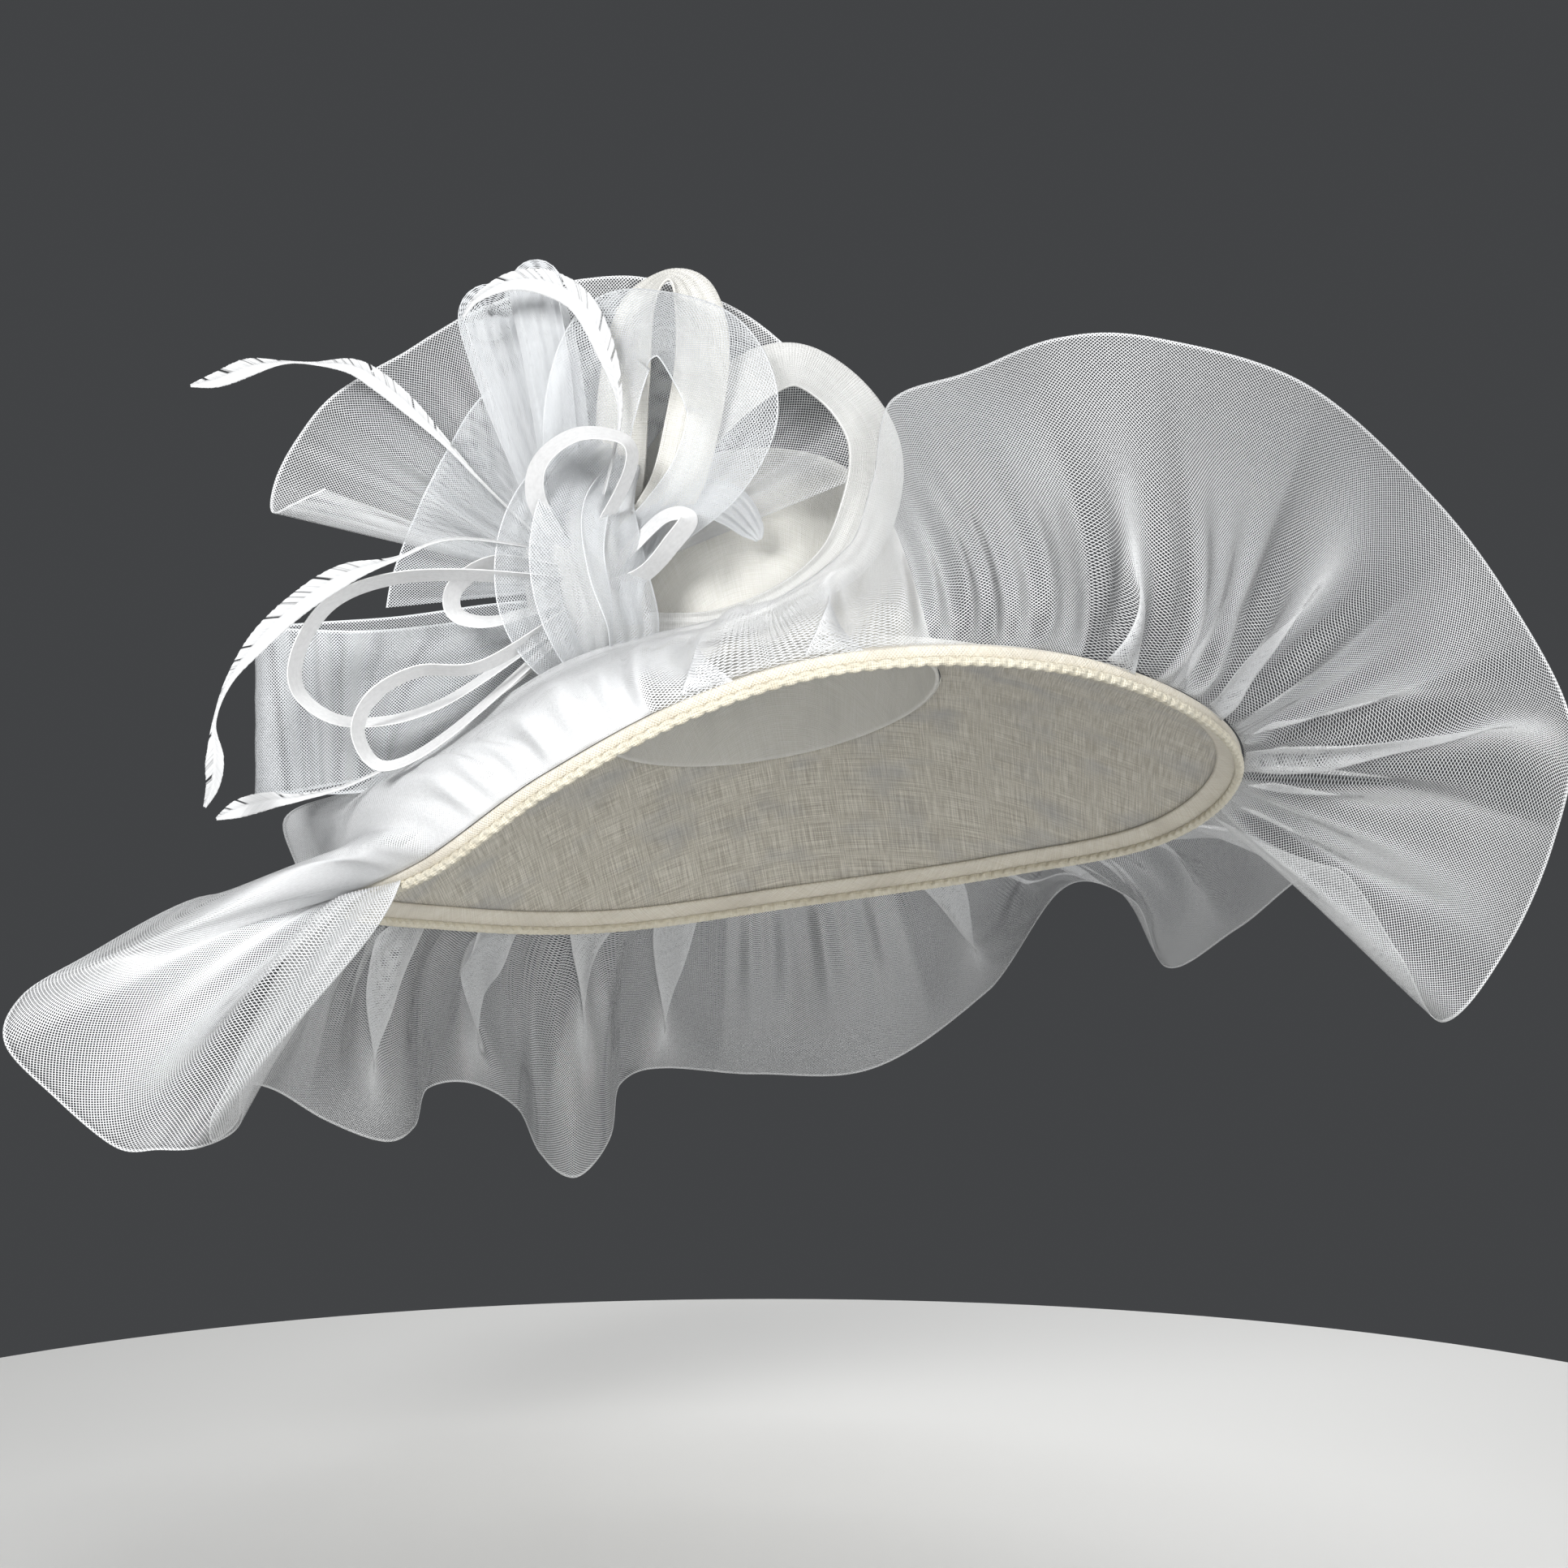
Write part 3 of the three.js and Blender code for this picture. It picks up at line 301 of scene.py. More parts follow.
# Ruffle: one band of white crin, a sheer diamond net of glossy nylon thread with a firm selvage,
# six inches wide. Its inner edge is gathered on a thread and sewn on over the binding.
crin_width, crin_wall, gather_count, gather_depth = 160.0, 1.0, 40, 2.6
ruffle_leave, ruffle_arrive, gather_fade = 0.28, 0.3, 3.2
ruffle_rows = np.array([  # cloth angle, free edge from the rim in widths, rise, shift of the root
    [-108, -0.14, 0.44, 0.24, 100, 0], [-99, 0.08, 0.66, 0.27, 100, 0],
    [-90, 0.07, 0.7, 0.27, 100, 0], [-80, 0.02, 0.67, 0.36, 100, 0], [-72, -0.1, 0.66, 0.54, 95, 0],
    [-65, -0.21, 0.6, 0.75, 85, 0], [-57, -0.16, 0.5, 0.84, 75, 0], [-48, -0.08, 0.28, 0.95, 65, 0],
    [-40, 0.05, 0.12, 0.98, 55, 0], [-31, 0.36, 0.12, 0.92, 60, 0], [-22, 0.66, 0.2, 0.68, 55, 0],
    [-13, 0.84, 0.08, 0.42, 35, 0], [-4, 0.96, -0.2, 0.1, 20, 0], [5, 0.94, -0.24, -0.18, 15, 0],
    [12, 0.85, -0.2, -0.48, 0, 0], [18, 0.73, -0.12, -0.67, -10, 0], [23, 0.76, 0.45, -0.46, 15, 0],
    [29, 0.66, 0.74, -0.14, 30, 0], [36, 0.46, 0.82, -0.32, 20, 0], [44, 0.34, 0.83, -0.44, 10, 0],
    [52, 0.38, 0.9, -0.18, 25, 0], [60, 0.3, 0.94, -0.11, 20, 0], [70, 0.24, 0.86, -0.44, 0, 0],
    [84, 0.13, 0.72, -0.68, -15, 0], [97, 0, 0.74, -0.66, -10, 0], [109, -0.09, 0.79, -0.6, 0, 0],
    [114, -0.1, 0.68, -0.64, -5, 0], [118, -0.04, 0.58, -0.81, -15, 0],
    [121.5, -0.07, 0.52, -0.93, -20, 0.5], [125, -0.11, 0.6, -0.86, -15, 1],
    [131, -0.11, 0.74, -0.7, -5, 0], [138, -0.16, 0.81, -0.62, 0, -1],
    [144, -0.21, 0.73, -0.63, -5, -1], [148, -0.16, 0.63, -0.75, -15, 0],
    [153, -0.18, 0.59, -0.8, -20, 0], [159, -0.3, 0.61, -0.73, -10, 0],
    [166, -0.41, 0.61, -0.62, 0, 0], [172, -0.44, 0.48, -0.6, -5, 0],
    [177, -0.41, 0.4, -0.7, -10, 0], [182, -0.45, 0.3, -0.75, -20, 0],
    [189, -0.43, 0.28, -0.66, -20, -1], [195, -0.32, 0.11, -0.54, -25, 2],
    [200, -0.38, 0.04, -0.68, -22, 9], [204, -0.57, -0.02, -0.76, -8, 14],
    [208, -0.64, -0.09, -0.75, 5, 7], [212, -0.68, -0.2, -0.72, 14, -4],
    [216, -0.83, -0.23, -0.57, 22, -11], [219.5, -0.97, -0.22, -0.42, 30, -14.5],
    [222.5, -0.96, -0.11, -0.3, 38, -15.5], [225.5, -0.85, 0.05, -0.21, 48, -14.5],
    [229, -0.67, 0.52, -0.08, 64, -11.5], [233, -0.5, 0.83, -0.1, 76, -9],
    [237, -0.63, 0.82, 0.04, 88, -6], [242, -0.48, 0.55, 0.05, 95, -4],
    [248, -0.35, 0.43, 0.11, 97, -2],
], float)
fold_rows = np.array([  # a fold's angle at the rim, depth, width, drift outward and length
    [-49, 7, 2.4, 8, 0.45], [-33, 7, 2.6, 9, 0.8], [-24, 4, 2.0, 6, 0.5], [-12, 8, 2.6, 9, 0.9],
    [-4, 7, 2.2, 4, 0.95], [2, 5, 2.0, 3, 0.6], [8, 7, 2.4, -4, 0.8], [15, 6, 2.2, -3, 0.9],
    [38, 6, 2.6, 3, 0.8], [64, 7, 3.0, -4, 0.9], [90, 5, 2.6, 4, 0.7], [113, 7, 2.6, 3, 0.9],
    [136, 7, 2.8, 4, 0.9], [158, 7, 2.8, -4, 0.9], [178, 6, 2.4, 3, 0.8], [190, 7, 2.4, 4, 0.9],
    [199, 6, 2.2, -3, 0.8], [208, 6, 2.2, 4, 0.9], [-100, 5, 2.4, 4, 0.4], [-78, 5, 2.4, -4, 0.4],
], float)
pleat_rows = np.array([  # angle, half width, shift of the root, how fast it fades, and lift
    [154, 8, 7.5, 1.0, 1.6], [136.5, 9, 8.5, 0.9, 1.6], [120.5, 7, 6.5, 2.2, 1.6],
    [108, 7, 6.5, 0.9, 1.6], [-96, 6.5, 5.9, 4.2, 1.3], [-81.5, 7, 6.5, 4.2, 1.3],
    [-3, 7, 6, 0.7, 1.6], [29, 8, 7, 1.0, 1.6], [54, 8, 7, 1.6, 1.6], [70, 7, 6, 1.2, 1.6],
    [-24, 6, 5, 1.6, 1.4], [-45, 6, 5, 2.4, 1.4],
], float)
ruffle_length = 2400.0


def ruffle_point(angle, share):
    """Each line is a cubic arc that leaves the rim at the table's rise and ends at the table's
    free edge. Gathers and folds lift it along its own normal, and fade towards the free edge."""
    free = round_hat(ruffle_rows, angle)
    edge, out, up, _ = rim_frame(angle + free[:, 4])
    rise = np.radians(free[:, 3:4])
    leave = (out * np.cos(rise) + up * np.sin(rise)) @ tilt.T
    root = edge @ tilt.T + leave * (binding_outer + clearance + crin_wall / 4)
    way = free[:, :3] * crin_width
    end = edge @ tilt.T + way
    first, second = root + leave * crin_width * ruffle_leave, end - ruffle_arrive * way
    t = share[None, :, None]
    corners = [c[:, None] for c in (root, first, second, end)]
    point = (corners[0] * (1 - t)**3 + 3 * corners[1] * t * (1 - t)**2
             + 3 * corners[2] * t**2 * (1 - t) + corners[3] * t**3)
    along = ((corners[1] - corners[0]) * (1 - t)**2 + 2 * (corners[2] - corners[1]) * t * (1 - t)
             + (corners[3] - corners[2]) * t**2)
    side = np.stack([-np.sin(np.radians(angle)), np.cos(np.radians(angle)), 0 * angle], axis=-1)
    across = np.cross(along, side[:, None])
    across /= np.linalg.norm(across, axis=2, keepdims=True)
    peak = (1 / (1 + gather_fade)) * (1 - 1 / (1 + gather_fade))**gather_fade
    swell = share * (1 - share)**gather_fade / peak
    turn = np.radians(angle)[:, None]
    lift = gather_depth * np.sin(gather_count * turn) * swell
    fine = share * (1 - share)**4 * 12.2
    wander = 1.3 * np.sin(3 * turn) + 0.8 * np.sin(7 * turn + 1) + 0.5 * np.sin(13 * turn + 2)
    crinkle = np.sin(2.6 * gather_count * turn + 2 * wander)
    lift = lift + 1.5 * fine * crinkle * (1 + 0.5 * np.sin(9 * turn))
    for at, depth, wide, drift, length in fold_rows:
        away = (angle[:, None] - at - drift * share + 180) % 360 - 180
        grown = wide * (0.5 + 0.9 * share)
        fade = np.clip(share / 0.12, 0, 1) * np.clip((length + 0.15 - share) / 0.3, 0, 1)
        lift = lift + depth * fade * np.exp(-(away / grown)**2)
    return point + lift[..., None] * across


def crowd(points, step, closed, selvage):
    """How much closer the threads lie than on the flat cloth, from the grid's spacing, with a
    firm selvage on the first and last rows that are named."""
    if closed:
        ahead, behind = np.roll(points, -1, axis=0), np.roll(points, 1, axis=0)
        gap = np.linalg.norm(ahead - behind, axis=2) / 2
    else:
        gap = np.linalg.norm(np.gradient(points, axis=0), axis=2)
    crowding = np.clip(step / np.maximum(gap, 0.01), 0.6, 4) ** 0.55
    for row in selvage:
        crowding[:, row] = 5.0
    return crowding


def net_finish(name, pitch, thread, colour, slant=1.0, roughness=0.32):
    """Crin: two families of slanting threads on the flat cloth; a thread covers more of its
    pitch where the cloth is crowded."""
    finish, tree, shader = start_finish(name, roughness, 0.2)
    cloth = wire(tree, "ShaderNodeUVMap", {"uv_map": "cloth"}).outputs[0]
    flat = wire(tree, "ShaderNodeSeparateXYZ", Vector=cloth)
    crowding = wire(tree, "ShaderNodeAttribute", {"attribute_name": "crowding"}).outputs[2]
    wide = wire(tree, "ShaderNodeMath", {"operation": "MULTIPLY"}, _0=crowding, _1=thread).outputs[0]
    lines = []
    for sign in (1, -1):
        lean = wire(tree, "ShaderNodeMath", {"operation": "MULTIPLY_ADD"}, _0=flat.outputs[0],
                    _1=sign * slant, _2=flat.outputs[1]).outputs[0]
        wave = wire(tree, "ShaderNodeMath", {"operation": "PINGPONG"}, _0=lean,
                    _1=pitch / 2000).outputs[0]
        place = wire(tree, "ShaderNodeMath", {"operation": "MULTIPLY"}, _0=wave,
                     _1=2000 / pitch).outputs[0]
        under = wire(tree, "ShaderNodeMath", {"operation": "SUBTRACT"}, _0=wide, _1=place).outputs[0]
        lines.append(wire(tree, "ShaderNodeMapRange", Value=under, From_Min=-0.06,
                          From_Max=0.06).outputs[0])
    cover = wire(tree, "ShaderNodeMath", {"operation": "MAXIMUM"}, _0=lines[0], _1=lines[1]).outputs[0]
    tree.links.new(cover, shader.inputs["Alpha"])
    fleck = wire(tree, "ShaderNodeTexNoise", Vector=cloth, Scale=420.0, Detail=1.0).outputs[0]
    tint = wire(tree, "ShaderNodeMix", {"data_type": "RGBA"}, _0=fleck,
                _6=tuple(0.8 * c for c in colour[:3]) + (1,), _7=colour)
    tree.links.new(tint.outputs[2], shader.inputs["Base Color"])
    weave = wire(tree, "ShaderNodeMath", {"operation": "ADD"}, _0=lines[0], _1=lines[1]).outputs[0]
    bump = wire(tree, "ShaderNodeBump", Height=weave, Strength=0.5, Distance=0.0003)
    tree.links.new(bump.outputs[0], shader.inputs["Normal"])
    return finish


white_crin = net_finish("white crin", 1.7, 0.15, (0.93, 0.94, 0.95, 1))
line_count = 960
front_fullness, front_full_at, front_full_width = 2.6, 240.0, 28.0
ruffle_angle = np.linspace(0, 360, line_count + 1)
selvage_share, crin_sheet = 0.988, 0.45
down_ruffle = np.append(np.linspace(0, 1, 37)[:-1] ** 1.15, [selvage_share, 1.0])


def pleated(angle, share):
    """The cloth doubles back over itself at each pleat: its lines start from a rim angle that runs
    on, back and on again as a sine, with the three layers lifted clear of each other."""
    slip, lift = 0 * angle, 0 * angle
    for at, half, shift, fade, rise in pleat_rows:
        away = np.clip((angle - at + 180) % 360 - 180, -half, half) * np.pi / half
        slip = slip + shift * (1 - share)**fade * np.sin(away)
        lift = lift + rise * (1 - share) * np.sin(away)
    line = ruffle_point(angle - slip, np.array([0.0, share]))[:, 1]
    up = rim_frame(angle)[2]
    return line + (lift[:, None] * up) @ tilt.T


ruffle_grid = np.stack([pleated(ruffle_angle[:-1], share) for share in down_ruffle], axis=1)
free_edge = np.vstack([ruffle_grid[:, -1], ruffle_grid[:1, -1]])
free_run = np.concatenate([[0], np.cumsum(np.linalg.norm(np.diff(free_edge, axis=0), axis=1))])
free_run *= ruffle_length / free_run[-1]
ruffle_flat = np.stack(np.broadcast_arrays(free_run[:, None], down_ruffle * crin_width), axis=-1)
ruffle_crowding = crowd(ruffle_grid, np.diff(free_run)[:, None], True, [-1])
from_full = (ruffle_angle[:-1, None] - front_full_at + 180) % 360 - 180
ruffle_crowding[:, :-2] *= (1 + front_fullness * np.exp(-(from_full / front_full_width)**2)
                            * (1 - 0.6 * down_ruffle[None, :-2]))
ruffle = lay_cloth("crin_ruffle", ruffle_grid, ruffle_flat, [white_crin], crin_sheet, closed=True,
                   crowding=ruffle_crowding)
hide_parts("ruffle")

# Knot: the gathered middle of the bow, where every loop is drawn together, wrapped in a crumpled
# length of sinamay and stitched to the front left of the crown.
knot_width, knot_height, knot_depth = 58.0, 92.0, 88.0
knot_turn = np.radians(-130.0)
seat_share, seat_radius, stand_off = 0.4, 0.97, 0.38
seat = tilt @ np.array([(head_width - sinamay_wall) / 2 * seat_radius * np.cos(knot_turn),
                        (head_depth - sinamay_wall) / 2 * seat_radius * np.sin(knot_turn),
                        crown_height * seat_share])
knot_out = tilt @ np.array([(head_width - sinamay_wall) / 2 * np.cos(knot_turn),
                            (head_depth - sinamay_wall) / 2 * np.sin(knot_turn), 0])
knot_out[2] = 0
knot_out /= np.linalg.norm(knot_out)
knot = seat + knot_out * knot_depth * stand_off


def clear_of_crown(points, margin):
    """Points that lie inside the crown, grown by a margin, are moved out to it, level."""
    own = points @ tilt
    share = np.clip(own[..., 2] / crown_height, 0, 1)
    radius = np.interp(share, crown_rows[:, 0], crown_rows[:, 1])
    wide = (head_width - sinamay_wall) / 2 * radius + margin
    deep = (head_depth - sinamay_wall) / 2 * radius + margin
    inside = np.sqrt((own[..., 0] / wide)**2 + (own[..., 1] / deep)**2)
    own[..., :2] /= np.clip(inside, 1e-6, 1)[..., None]
    return own @ tilt.T


turn = np.linspace(0, 2 * np.pi, 361)[:-1, None]
down = np.linspace(0.0, np.pi, 121)[None, :]


def creases(count, twist, shift):
    """Sharp valleys between soft rounds: one less the absolute sine, cubed."""
    return (1 - np.abs(np.sin(count / 2 * turn + twist * down + shift))) ** 3


bend = 0.6 * np.sin(2 * down + 1)
crease = (0.05 * np.sin(3 * turn + 2 * down + 1) - 0.1 * creases(5, 1.1 + bend, 0.4)
          - 0.06 * creases(8, -0.9 + 0.5 * bend, 2.0) - 0.03 * creases(19, 1.6, 0.9)
          + 0.06 * np.cos(2 * turn + 3.2 * down))
puff = np.sin(down) ** 0.85 * (0.97 + crease * np.sin(down))
lean = 0.1 * knot_width * np.cos(down)
knot_grid = knot + np.stack([
    knot_width / 2 * puff * np.cos(turn) * 0.96 - lean,
    knot_depth / 2 * puff * np.sin(turn),
    knot_height / 2 * np.cos(down) * (1 + 0 * turn),
], axis=-1)
knot_grid = clear_of_crown(knot_grid, sinamay_wall / 2 + clearance)
knot_flat = np.stack(np.broadcast_arrays(
    np.linspace(0, 230, 361)[:, None], down * 46), axis=-1)
white_wrap = straw_finish("white wrap", (0.88, 0.88, 0.865, 1), (0.76, 0.76, 0.74, 1),
                          (0.70, 0.70, 0.68, 1), 0.3)
knot_cloth = lay_cloth("knot_cloth", knot_grid, knot_flat, [white_wrap], 0, closed=True)
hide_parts("knot")

# Fans: two widths of the same crin, each drawn up on a thread into a half round and set behind
# the knot, the smaller in front. Pleats run out from the knot and open into a wavy edge.
fan_radius, fan_set_back, layer_radius, layer_set_back, fan_root = 145.0, 0.12, 112.0, 0.035, 0.1
fan_rows = np.array([  # angle, reach and lean forward, as shares of the radius
    [22, 0.95, 0.05], [36, 0.99, 0.01], [50, 1.01, 0.02], [64, 1.03, -0.04], [80, 1.02, 0.02],
    [96, 1.0, -0.05], [112, 0.97, 0.01], [128, 0.98, -0.06], [144, 1.04, 0.0], [153, 1.07, -0.05],
    [161, 1.08, -0.04], [166.5, 1.05, 0.02], [164, 0.98, 0.07], [159.5, 0.9, 0.08],
], float)
layer_rows = np.array([
    [58, 1.14, 0.02], [72, 1.05, -0.04], [86, 1.0, 0.03], [102, 0.95, -0.04], [118, 0.91, 0.03],
    [134, 0.83, -0.03], [150, 0.78, 0.03], [166, 0.79, -0.02], [186, 0.84, 0.03],
], float)


def lay_fan(name, rows, radius, set_back, node, pleats, finish):
    """Lines out from the knot's middle at the table's angles, to its reach and leaning as it
    says. Pleats are sine waves across the lines that fade towards the free edge."""
    lines = smooth_through(rows, np.linspace(0, len(rows) - 1, 401))
    at, reach, fore = np.radians(lines[:, :1]), lines[:, 1:2], lines[:, 2:]
    inner = fan_root + (1 - fan_root) * np.linspace(0, 1, 33)[:-1]
    share = np.append(inner, [selvage_share, 1.0])[None, :]
    swing = pleats * at + 0.8 * np.sin(3.1 * at)
    pleat = (2.2 * np.sin(swing) * share * (1.05 - share) * 3
             + 0.8 * np.sin(2.3 * swing) * (1 - share))
    grid = knot + np.stack([
        radius * reach * share * np.cos(at),
        knot_depth * set_back - radius * fore * share + pleat,
        radius * reach * share * np.sin(at),
    ], axis=-1)
    run = np.concatenate([[0], np.cumsum(np.linalg.norm(np.diff(grid[:, -1], axis=0), axis=1))])
    flat = np.stack(np.broadcast_arrays(run[:, None], share * radius * reach), axis=-1)
    step = np.gradient(run)[:, None]
    piece = lay_cloth(name, grid, flat, [finish], crin_sheet,
                      crowding=crowd(grid, step, False, [-1]))
    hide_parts(node)
    return piece, run[-1]


fine_crin = net_finish("fine crin", 1.5, 0.18, (0.86, 0.88, 0.90, 1))
fan, fan_edge = lay_fan("fan_back_cloth", fan_rows, fan_radius, fan_set_back, "crin_fan", 34,
                        white_crin)
layer, layer_edge = lay_fan("fan_front_cloth", layer_rows, layer_radius, layer_set_back,
                            "crin_layer", 30, fine_crin)

# Bow loops: two cut from sinamay and pressed flat, and the rest from crin of two widths. Each is
# a strip whose two ends go into the knot; pleats at the ends draw it narrower there.
bow_reach, strap_width, crin_loop_width, lower_loop_width = 140.0, 34.0, 44.0, 76.0
strap_sheet = 1.1
strap_right_rows = np.array([  # right, fore, up, width and turn of the width
    [0.05, 0.02, 0.06, 0.5, 60], [0.21, 0.045, 0.31, 0.8, 60], [0.4, 0.08, 0.56, 0.9, 60],
    [0.56, 0.09, 0.69, 1, 50], [0.7, 0.07, 0.73, 1, 42], [0.84, 0, 0.66, 1, 42],
    [0.94, -0.02, 0.53, 1, 45], [0.965, -0.02, 0.39, 1, 50], [0.93, 0, 0.23, 0.9, 60],
    [0.86, 0.03, 0.1, 0.7, 75], [0.74, 0.065, 0, 0.5, 85], [0.6, 0.085, -0.08, 0.45, 88],
    [0.44, 0.085, -0.13, 0.4, 88], [0.28, 0.07, -0.14, 0.4, 88], [0.13, 0.07, -0.13, 0.4, 88],
], float)
strap_top_rows = np.array([
    [0.06, 0.07, 0.08, 0.5, 80], [0.11, 0.11, 0.33, 0.7, 80], [0.13, 0.12, 0.65, 0.75, 70],
    [0.17, 0.1, 0.91, 0.75, 45], [0.27, 0.11, 1.02, 0.75, 20], [0.36, 0.14, 0.96, 0.75, 50],
    [0.39, 0.17, 0.77, 0.75, 75], [0.36, 0.18, 0.54, 0.75, 80], [0.29, 0.17, 0.3, 0.7, 80],
    [0.12, 0.12, 0.1, 0.5, 80],
], float)
crin_top_rows = np.array([
    [0.02, 0.15, 0.08, 0.5, 90], [0.01, 0.25, 0.31, 0.8, 90], [0.03, 0.31, 0.56, 0.95, 90],
    [0.11, 0.32, 0.78, 1.0, 75], [0.27, 0.32, 0.83, 1.0, 50], [0.42, 0.33, 0.73, 1.0, 75],
    [0.49, 0.34, 0.55, 0.95, 90], [0.42, 0.31, 0.36, 0.8, 90], [0.28, 0.24, 0.21, 0.6, 90],
    [0.12, 0.17, 0.08, 0.5, 90],
], float)
pleat_left_rows = np.array([
    [-0.05, 0.06, 0.08, 0.4, 90], [-0.15, 0.12, 0.35, 0.45, 90], [-0.25, 0.13, 0.63, 0.55, 90],
    [-0.32, 0.12, 0.86, 0.6, 90], [-0.31, 0.08, 0.9, 0.6, 90], [-0.29, 0.05, 0.84, 0.6, 90],
    [-0.21, 0.05, 0.62, 0.55, 90], [-0.12, 0.04, 0.35, 0.45, 90], [-0.03, 0.02, 0.08, 0.4, 90],
], float)
pleat_mid_rows = np.array([
    [-0.05, 0.12, 0.08, 0.4, 90], [-0.08, 0.2, 0.42, 0.42, 90], [-0.12, 0.23, 0.74, 0.48, 90],
    [-0.16, 0.22, 0.94, 0.5, 90], [-0.15, 0.19, 0.98, 0.5, 90], [-0.14, 0.17, 0.92, 0.5, 90],
    [-0.09, 0.17, 0.74, 0.48, 90], [-0.04, 0.16, 0.42, 0.42, 90], [-0.01, 0.09, 0.08, 0.4, 90],
], float)
crin_lower_rows = np.array([
    [-0.06, 0.03, -0.2, 0.6, 0], [-0.31, 0.06, -0.29, 0.85, 0], [-0.63, 0.06, -0.36, 0.95, 0],
    [-0.92, 0.08, -0.4, 1.02, 0], [-1.07, 0.16, -0.42, 1.02, 0], [-1.0, 0.25, -0.42, 1.0, 0],
    [-0.7, 0.25, -0.42, 0.97, 0], [-0.4, 0.22, -0.37, 0.9, 0], [-0.08, 0.14, -0.26, 0.7, 0],
], float)


def lay_strip(name, rows, width, finish, wall, node, pleats=0.0, upright=False, columns=13):
    """A strip along a middle line from the knot. Its width turns from the line of sight towards
    the plane of the bow, or stands upright. Pleats run along it and grow as it narrows."""
    line = smooth_through(rows, np.linspace(0, len(rows) - 1, 14 * (len(rows) - 1) + 1))
    middle = knot + bow_reach * np.stack([line[:, 0], -line[:, 1], line[:, 2]], axis=-1)
    way = np.gradient(middle, axis=0)
    way /= np.linalg.norm(way, axis=1, keepdims=True)
    sight = np.array([0.0, -1.0, 0.0])
    level = np.cross(way, sight)
    level /= np.linalg.norm(level, axis=1, keepdims=True)
    angle = np.radians(line[:, 4:])
    side = sight * np.cos(angle) + level * np.sin(angle)
    if upright:
        side = np.tile(np.array([0.0, 0.0, 1.0]), (len(line), 1))
    face = np.cross(way, side)
    face /= np.linalg.norm(face, axis=1, keepdims=True)
    across = np.linspace(-0.5, 0.5, columns)
    across = np.concatenate([[-0.5], across * 0.96, [0.5]])
    wide = width * line[:, 3:4]
    grid = middle[:, None] + (wide * across)[..., None] * side[:, None]
    drawn = np.clip(1.05 - line[:, 3:4], 0, 0.6)
    ripple = np.sin(2 * np.pi * 3 * across + 1.5 * np.sin(4 * across))
    wave = pleats * drawn * np.sqrt(line[:, 3:4]) * ripple * np.minimum(1, wide / 20)
    grid = grid + wave[..., None] * face[:, None]
    run = np.concatenate([[0], np.cumsum(np.linalg.norm(np.diff(middle, axis=0), axis=1))])
    flat = np.stack(np.broadcast_arrays(run[:, None], (across + 0.5) * width), axis=-1)
    crowding = np.repeat(np.clip(1 / line[:, 3:4], 1, 2.6), len(across), axis=1)
    crowding[:, [0, -1]] = 5.0
    piece = lay_cloth(name, grid, flat, [finish], wall, crowding=crowding)
    if node:
        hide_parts(node)


for name, rows, width, finish, wall, pleats, upright in (
        ("sinamay_loop_right", strap_right_rows, strap_width, white_wrap, strap_sheet, 2.5, False),
        ("sinamay_loop_top", strap_top_rows, strap_width, ivory_straw, strap_sheet, 2.0, False),
        ("crin_loop_top", crin_top_rows, crin_loop_width, fine_crin, crin_sheet, 4.0, False),
        ("crin_pleat_left", pleat_left_rows, crin_loop_width, fine_crin, crin_sheet, 3.0, False),
        ("crin_pleat_mid", pleat_mid_rows, crin_loop_width, fine_crin, crin_sheet, 3.0, False),
        ("crin_loop_lower", crin_lower_rows, lower_loop_width, fine_crin, crin_sheet, 5.0, True)):
    lay_strip(name + "_cloth", rows, width, finish, wall, name, pleats, upright)

# Knot folds: the crumpled length of fine crin that is wound round the knot, in folds that run from
# its top to its foot, with one short end that stands out over the crown.
knot_fold_width = 34.0
knot_fold_rows = [np.array(rows, float) for rows in (
    [[0.02, 0.16, 0.42, 0.5, 60], [-0.1, 0.26, 0.3, 0.85, 55], [-0.17, 0.33, 0.12, 1.0, 50],
     [-0.16, 0.35, -0.08, 1.0, 55], [-0.08, 0.33, -0.24, 0.8, 65], [0.04, 0.22, -0.34, 0.4, 70]],
    [[0.1, 0.17, 0.44, 0.5, 70], [0.0, 0.31, 0.3, 0.9, 75], [-0.04, 0.4, 0.1, 1.0, 80],
     [-0.01, 0.41, -0.1, 1.0, 75], [0.03, 0.34, -0.26, 0.7, 70], [0.08, 0.24, -0.36, 0.4, 70]],
    [[0.15, 0.16, 0.4, 0.4, 60], [0.09, 0.28, 0.24, 0.8, 60], [0.12, 0.36, 0.04, 1.0, 50],
     [0.17, 0.34, -0.14, 0.9, 50], [0.15, 0.27, -0.28, 0.6, 60], [0.1, 0.2, -0.34, 0.3, 70]],
    [[0.27, 0.13, 0.3, 0.2, 80], [0.23, 0.2, 0.19, 0.3, 80], [0.18, 0.27, 0.05, 0.35, 75],
     [0.16, 0.3, -0.06, 0.3, 75], [0.17, 0.28, -0.14, 0.25, 75]],
    [[0.12, 0.2, 0.14, 0.2, 80], [0.26, 0.17, 0.24, 0.35, 80], [0.38, 0.14, 0.285, 0.5, 85],
     [0.48, 0.11, 0.26, 0.55, 90], [0.55, 0.09, 0.19, 0.35, 95], [0.575, 0.08, 0.15, 0.1, 95]],
)]
for count, rows in enumerate(knot_fold_rows, 1):
    lay_strip(f"knot_fold_{count}", rows, knot_fold_width, fine_crin, crin_sheet, None, 4.0,
              columns=17)

